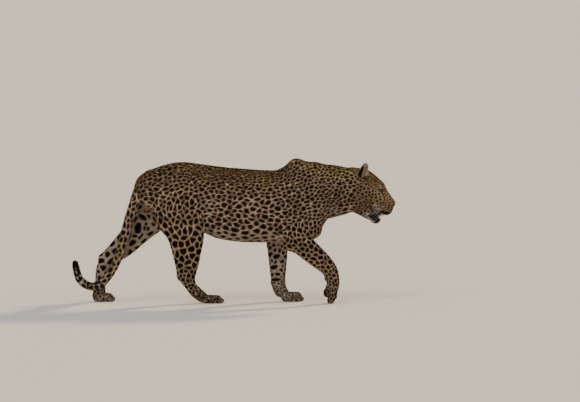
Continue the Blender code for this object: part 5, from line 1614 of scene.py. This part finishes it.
def build_coat(pts, nrm, tris, blot, mat):
    area = 0.5 * np.linalg.norm(np.cross(pts[tris[:, 1]] - pts[tris[:, 0]], pts[tris[:, 2]] - pts[tris[:, 0]]), axis=1)
    mid, mn = pts[tris].mean(1).astype(np.float32), rows_unit(nrm[tris].mean(1))
    pl = Place(mid)
    length, width, rise = tuft_size(mid, mn, pl)
    bare, _ = bare_share(mid, mn)
    weight = area / (length * width) ** 0.93 * (bare < 0.35) * (mid[:, 2] > 0.0035)
    total = 340000
    tri, bary = scatter(weight, total)
    p = (pts[tris[tri]] * bary[:, :, None]).sum(1).astype(np.float32)
    n = rows_unit((nrm[tris[tri]] * bary[:, :, None]).sum(1)).astype(np.float32)
    pl = Place(p)
    bare, _ = bare_share(p, n)
    keep = bare < 0.4
    p, n = p[keep], n[keep]
    pl.w, pl.along, pl.head = pl.w[keep], pl.along[keep], pl.head[keep]
    pl.way = [w[keep] for w in pl.way]
    say("roots", len(p))
    length, width, rise = tuft_size(p, n, pl)
    v = lie(p, n, pl)
    side = np.cross(n, v)
    turn = (0.30 * waver(p, 26, 4, 6) + 0.20 * waver(p, 9, 10, 6) + rng.normal(0, 0.13, len(p))).astype(np.float32)
    v = v * np.cos(turn)[:, None] + side * np.sin(turn)[:, None]
    side = np.cross(n, v)
    length = length * rng.uniform(0.72, 1.18, len(p)) * (1 + 0.10 * waver(p, 18, 7, 5))
    rise = rise * np.clip(rng.normal(0.80, 0.16, len(p)), 0.3, 1.0)
    mm = np.float32(0.001)
    length, width, rise = (length * mm).astype(np.float32), (width * mm).astype(np.float32), (rise * mm).astype(np.float32)
    root = p - n * np.float32(0.0004)
    left = root - side * (width / 2)[:, None]
    right = root + side * (width / 2)[:, None]
    ridge = p + v * (length * 0.42)[:, None] + n * (rise * 0.44 + width * 0.05)[:, None]
    tip = p + v * length[:, None] + n * rise[:, None]
    tip[:, 2] = np.maximum(tip[:, 2], 0.0004)
    say("tufts shaped")
    # colour at the root, in the middle and at the tip
    c_root, _ = paint(p, n, pl, blot)
    pm = p + v * (length * 0.45)[:, None]
    c_mid, _ = paint(pm, n, pl, blot)
    pt = p + v * (length * 0.92)[:, None]
    c_tip, _ = paint(pt, n, pl, blot)
    say("tufts coloured")
    tone = np.clip(rng.normal(1.0, 0.075, len(p)), 0.75, 1.25).astype(np.float32)[:, None]
    # painted light: the roots, which lie in the shade under other tufts, are lightened more (1.20) than the middle and
    # tip (1.06)
    c_root, c_mid, c_tip = c_root * tone * 1.20, c_mid * tone * 1.06, c_tip * tone * 1.06
    # pieces
    names = []
    w = pl.w.argmax(1)
    piece = np.zeros(len(p), int)
    x = p[:, 0]
    cuts = {"coat_rump": (w == 0) & (x < -0.16), "coat_middle": (w == 0) & (x >= -0.16) & (x < 0.10), "coat_shoulders": (w == 0) & (x >= 0.10),
            "coat_neck": (w == 1), "coat_forelegs": (w == 2) | (w == 3), "coat_hindleg_right": (w == 4), "coat_hindleg_left": (w == 5), "coat_tail": (w == 6), "coat_head": (w == 7)}
    out = []
    for name, m in cuts.items():
        idx = np.flatnonzero(m)
        parts = int(math.ceil(len(idx) / 48000.0))
        if parts > 1:
            order = idx[np.argsort(p[idx, 1])]
            groups = [(name + "_" + "ab"[k] if parts == 2 else name + "_" + str(k), g) for k, g in enumerate(np.array_split(order, parts))]
        else:
            groups = [(name, idx)]
        for gname, g in groups:
            if not len(g):
                continue
            verts = np.stack([left[g], right[g], ridge[g], tip[g]], 1).reshape(-1, 3)
            base = np.arange(len(g))[:, None] * 4
            corner = ((0, 2, 1), (0, 3, 2), (1, 2, 3), (0, 1, 3))
            faces = np.concatenate([base + np.array(c) for c in corner])
            ob = new_object(gname, verts, faces)
            col = np.stack([c_root[g], c_root[g], c_mid[g], c_tip[g]], 1).reshape(-1, 3)
            give(ob, "coat", np.clip(col, 0, 1), "FLOAT_COLOR")
            # the coat is lit as one soft surface: corners take the normal of the skin, turned a little to each side
            soft = (rows_unit(n[g] - 0.34 * side[g]), rows_unit(n[g] + 0.34 * side[g]), rows_unit(n[g] - 0.08 * v[g]), rows_unit(n[g] + 0.18 * v[g]))
            under = rows_unit(v[g] * 0.5 - n[g])
            nn = np.concatenate([np.stack([soft[i] for i in c], 1) for c in corner[:3]] + [np.stack([under] * 3, 1)])
            a = ob.data.attributes.new("custom_normal", "FLOAT_VECTOR", "CORNER")
            a.data.foreach_set("vector", nn.astype(np.float32).reshape(-1))
            uv_root = unwrap(p[g], w[g])
            uv = np.stack([uv_root, uv_root, uv_root, uv_root], 1)
            off = np.array(((0, -0.0008), (0, 0.0008), (0.0012, 0), (0.0030, 0)), np.float32)
            uv = (uv + off[None]).reshape(-1, 2)
            layer = ob.data.uv_layers.new(name="OFBake")
            layer.data.foreach_set("uv", uv[faces.reshape(-1)].astype(np.float32).reshape(-1))
            ob.data.materials.append(mat)
            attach(ob, "root")
            out.append(ob)
            names.append((gname, len(faces)))
    say("coat", names, "in all", sum(k for _, k in names))
    return out


# ---------------------------------------------------------------- unwrap

SLOTS = {0: (0.005, 0.005, 0.60, 0.52), 1: (0.61, 0.005, 0.155, 0.52), 2: (0.775, 0.005, 0.215, 0.25), 3: (0.775, 0.27, 0.215, 0.25),
         4: (0.005, 0.535, 0.325, 0.26), 5: (0.34, 0.535, 0.325, 0.26), 6: (0.005, 0.805, 0.66, 0.09), 7: (0.675, 0.535, 0.32, 0.45)}


def unwrap(p, part):
    """Each part of the body rolled out flat: its length one way, the way round it the other; the head as a disc round the nose."""
    uv = np.zeros((len(p), 2), np.float32)
    for k in range(8):
        m = np.flatnonzero(part == k)
        if not len(m):
            continue
        x0, y0, w, h = SLOTS[k]
        if k == 7:
            f, s, u = head_place(p[m])
            f = f - 20
            r = np.sqrt(f * f + s * s + u * u) + 1e-6
            a = np.arccos(np.clip(f / r, -1, 1)) / math.pi
            b = np.arctan2(u, s)
            uv[m, 0] = x0 + w * (0.5 + 0.5 * a * np.cos(b))
            uv[m, 1] = y0 + h * (0.5 + 0.5 * a * np.sin(b))
            continue
        ch = CHAINS[k][1]
        q = p[m].astype(np.float32)
        _, t, at = ch.dist(q, True)
        i = np.minimum(at.astype(int), len(ch.s) - 2)
        g = (at - i)[:, None]
        c = ch.s[i, :3] * (1 - g) + ch.s[i + 1, :3] * g
        bb = ch.b[i] * (1 - g) + ch.b[i + 1] * g
        nn = ch.n[i] * (1 - g) + ch.n[i + 1] * g
        d = q - c
        run = at / (len(ch.s) - 1) + 0.0
        over = (d * (ch.t[i] * (1 - g) + ch.t[i + 1] * g)).sum(1)
        total = np.linalg.norm(np.diff(ch.s[:, :3], axis=0), axis=1).sum()
        run = np.clip(0.08 + 0.84 * run + 0.84 * over / total, 0, 1)
        ang = np.arctan2((d * bb).sum(1), -(d * nn).sum(1)) / (2 * math.pi) + 0.5
        uv[m, 0] = x0 + w * run
        uv[m, 1] = y0 + h * ang
    return uv


def skin_uv(ob, pts, tris, pl):
    part = pl.w[tris].sum(1).argmax(1)
    uv = np.zeros((len(tris), 3, 2), np.float32)
    for i in range(3):
        uv[:, i] = unwrap(pts[tris[:, i]].astype(np.float32), part)
    # a face over the seam stays on one side of it
    for k in range(7):
        y0, h = SLOTS[k][1], SLOTS[k][3]
        m = part == k
        v = uv[m, :, 1]
        wide = (v.max(1) - v.min(1)) > h * 0.5
        top = y0 + h * 0.999
        v[wide] = np.where(v[wide] < y0 + h * 0.5, top, v[wide])
        uv[m, :, 1] = v
    layer = ob.data.uv_layers.new(name="OFBake")
    layer.data.foreach_set("uv", uv.reshape(-1))


# ---------------------------------------------------------------- the animal

def build():
    pts, tris = build_skin()
    nrm = point_normals(pts, tris).astype(np.float32)
    blot = Blotches(pts, nrm, tris)
    pl = Place(pts)
    col, s = paint(pts, nrm, pl, blot)
    bare, bare_col = bare_share(pts, nrm)
    col = col * 1.0
    col = col + (bare_col - col) * bare[:, None]
    skin = new_object("skin", pts, tris)
    give(skin, "coat", np.clip(col, 0, 1), "FLOAT_COLOR")
    give(skin, "bare", bare)
    skin_uv(skin, pts, tris, pl)
    skin_mat = skin_material()
    skin.data.materials.append(skin_mat)
    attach(skin, "root")
    flesh_nodes = [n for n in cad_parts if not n.startswith(("eye_", "canine_", "nose", "tongue"))]
    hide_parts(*flesh_nodes)
    say("skin done")
    eye_mat = iris_material()
    for s in (-1, 1):
        side = "left" if s > 0 else "right"
        e = eyeball(s)
        e.data.materials.append(eye_mat)
        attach(e, "root")
        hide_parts("eye_" + side)
        l = lids(s)
        l.data.materials.append(skin_mat)
        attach(l, "root")
    nose = nose_pad()
    nose.data.materials.append(plain("nose leather", (0.024, 0.015, 0.014), 0.60, coat=0.0, scale=420.0, bump=0.6, distance=0.0006, spec=0.35, cells=True))
    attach(nose, "root")
    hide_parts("nose")
    teeth = make_teeth()
    teeth.data.materials.append(plain("teeth", (0.78, 0.70, 0.52), 0.22, coat=0.4, scale=90.0, dark=0.7, bump=0.12, distance=0.0003))
    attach(teeth, "root")
    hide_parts(*[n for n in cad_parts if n.startswith("canine_")])
    tongue_ob = make_tongue()
    tongue_ob.data.materials.append(plain("tongue", (0.46, 0.17, 0.16), 0.36, coat=0.3, scale=650.0, dark=0.62, bump=0.9, distance=0.0008, cells=True))
    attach(tongue_ob, "root")
    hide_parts("tongue")
    wh = make_whiskers()
    wh.data.materials.append(plain("whiskers", (0.80, 0.76, 0.68), 0.35, scale=60.0, bump=0.05))
    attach(wh, "root")
    build_coat(pts, nrm, tris, blot, fur_material("coat"))


def stage():
    me = bpy.data.meshes.new("floor")
    r = 420.0
    me.from_pydata([(-r, -r, 0), (r, -r, 0), (r, r, 0), (-r, r, 0)], [], [(0, 1, 2, 3)])
    floor = bpy.data.objects.new("floor", me)
    bpy.context.scene.collection.objects.link(floor)
    m, t, p = shader("floor")
    p.inputs["Base Color"].default_value = (0.60, 0.56, 0.50, 1)
    p.inputs["Roughness"].default_value = 0.9
    p.inputs["Specular IOR Level"].default_value = 0.1
    me.materials.append(m)
    w = bpy.data.worlds.new("studio")
    bpy.context.scene.world = w
    w.use_nodes = True
    w.node_tree.nodes["Background"].inputs["Color"].default_value = (0.86, 0.90, 1.0, 1)
    w.node_tree.nodes["Background"].inputs["Strength"].default_value = 0.75

    def sun(name, frm, power, colour, soft):
        d = bpy.data.lights.new(name, "SUN")
        d.energy = power
        d.color = colour
        d.angle = math.radians(soft)
        o = bpy.data.objects.new(name, d)
        o.rotation_euler = (-Vector(frm)).to_track_quat("-Z", "Y").to_euler()
        bpy.context.scene.collection.objects.link(o)

    sun("key", (-0.35, -1.0, 0.75), 1.82, (1.0, 0.92, 0.81), 40)
    sun("rim", (0.60, 1.0, 0.42), 5.0, (1.0, 0.78, 0.48), 7)


def camera():
    target = Vector((0.264 + TO_ORIGIN[0], 0.0, 0.4872))
    far, e = 38.0, math.radians(2.75)
    d = bpy.data.cameras.new("camera")
    d.sensor_width = 36.0
    d.lens = 36.0 * far / 2.784
    d.clip_start, d.clip_end = 1.0, 900.0
    o = bpy.data.objects.new("camera", d)
    o.location = target + Vector((0, -math.cos(e), math.sin(e))) * far
    o.rotation_euler = (target - o.location).to_track_quat("-Z", "Y").to_euler()
    bpy.context.scene.collection.objects.link(o)
    bpy.context.scene.camera = o


build()
stage()
camera()
bpy.context.view_layer.update()
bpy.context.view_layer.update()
say("done")
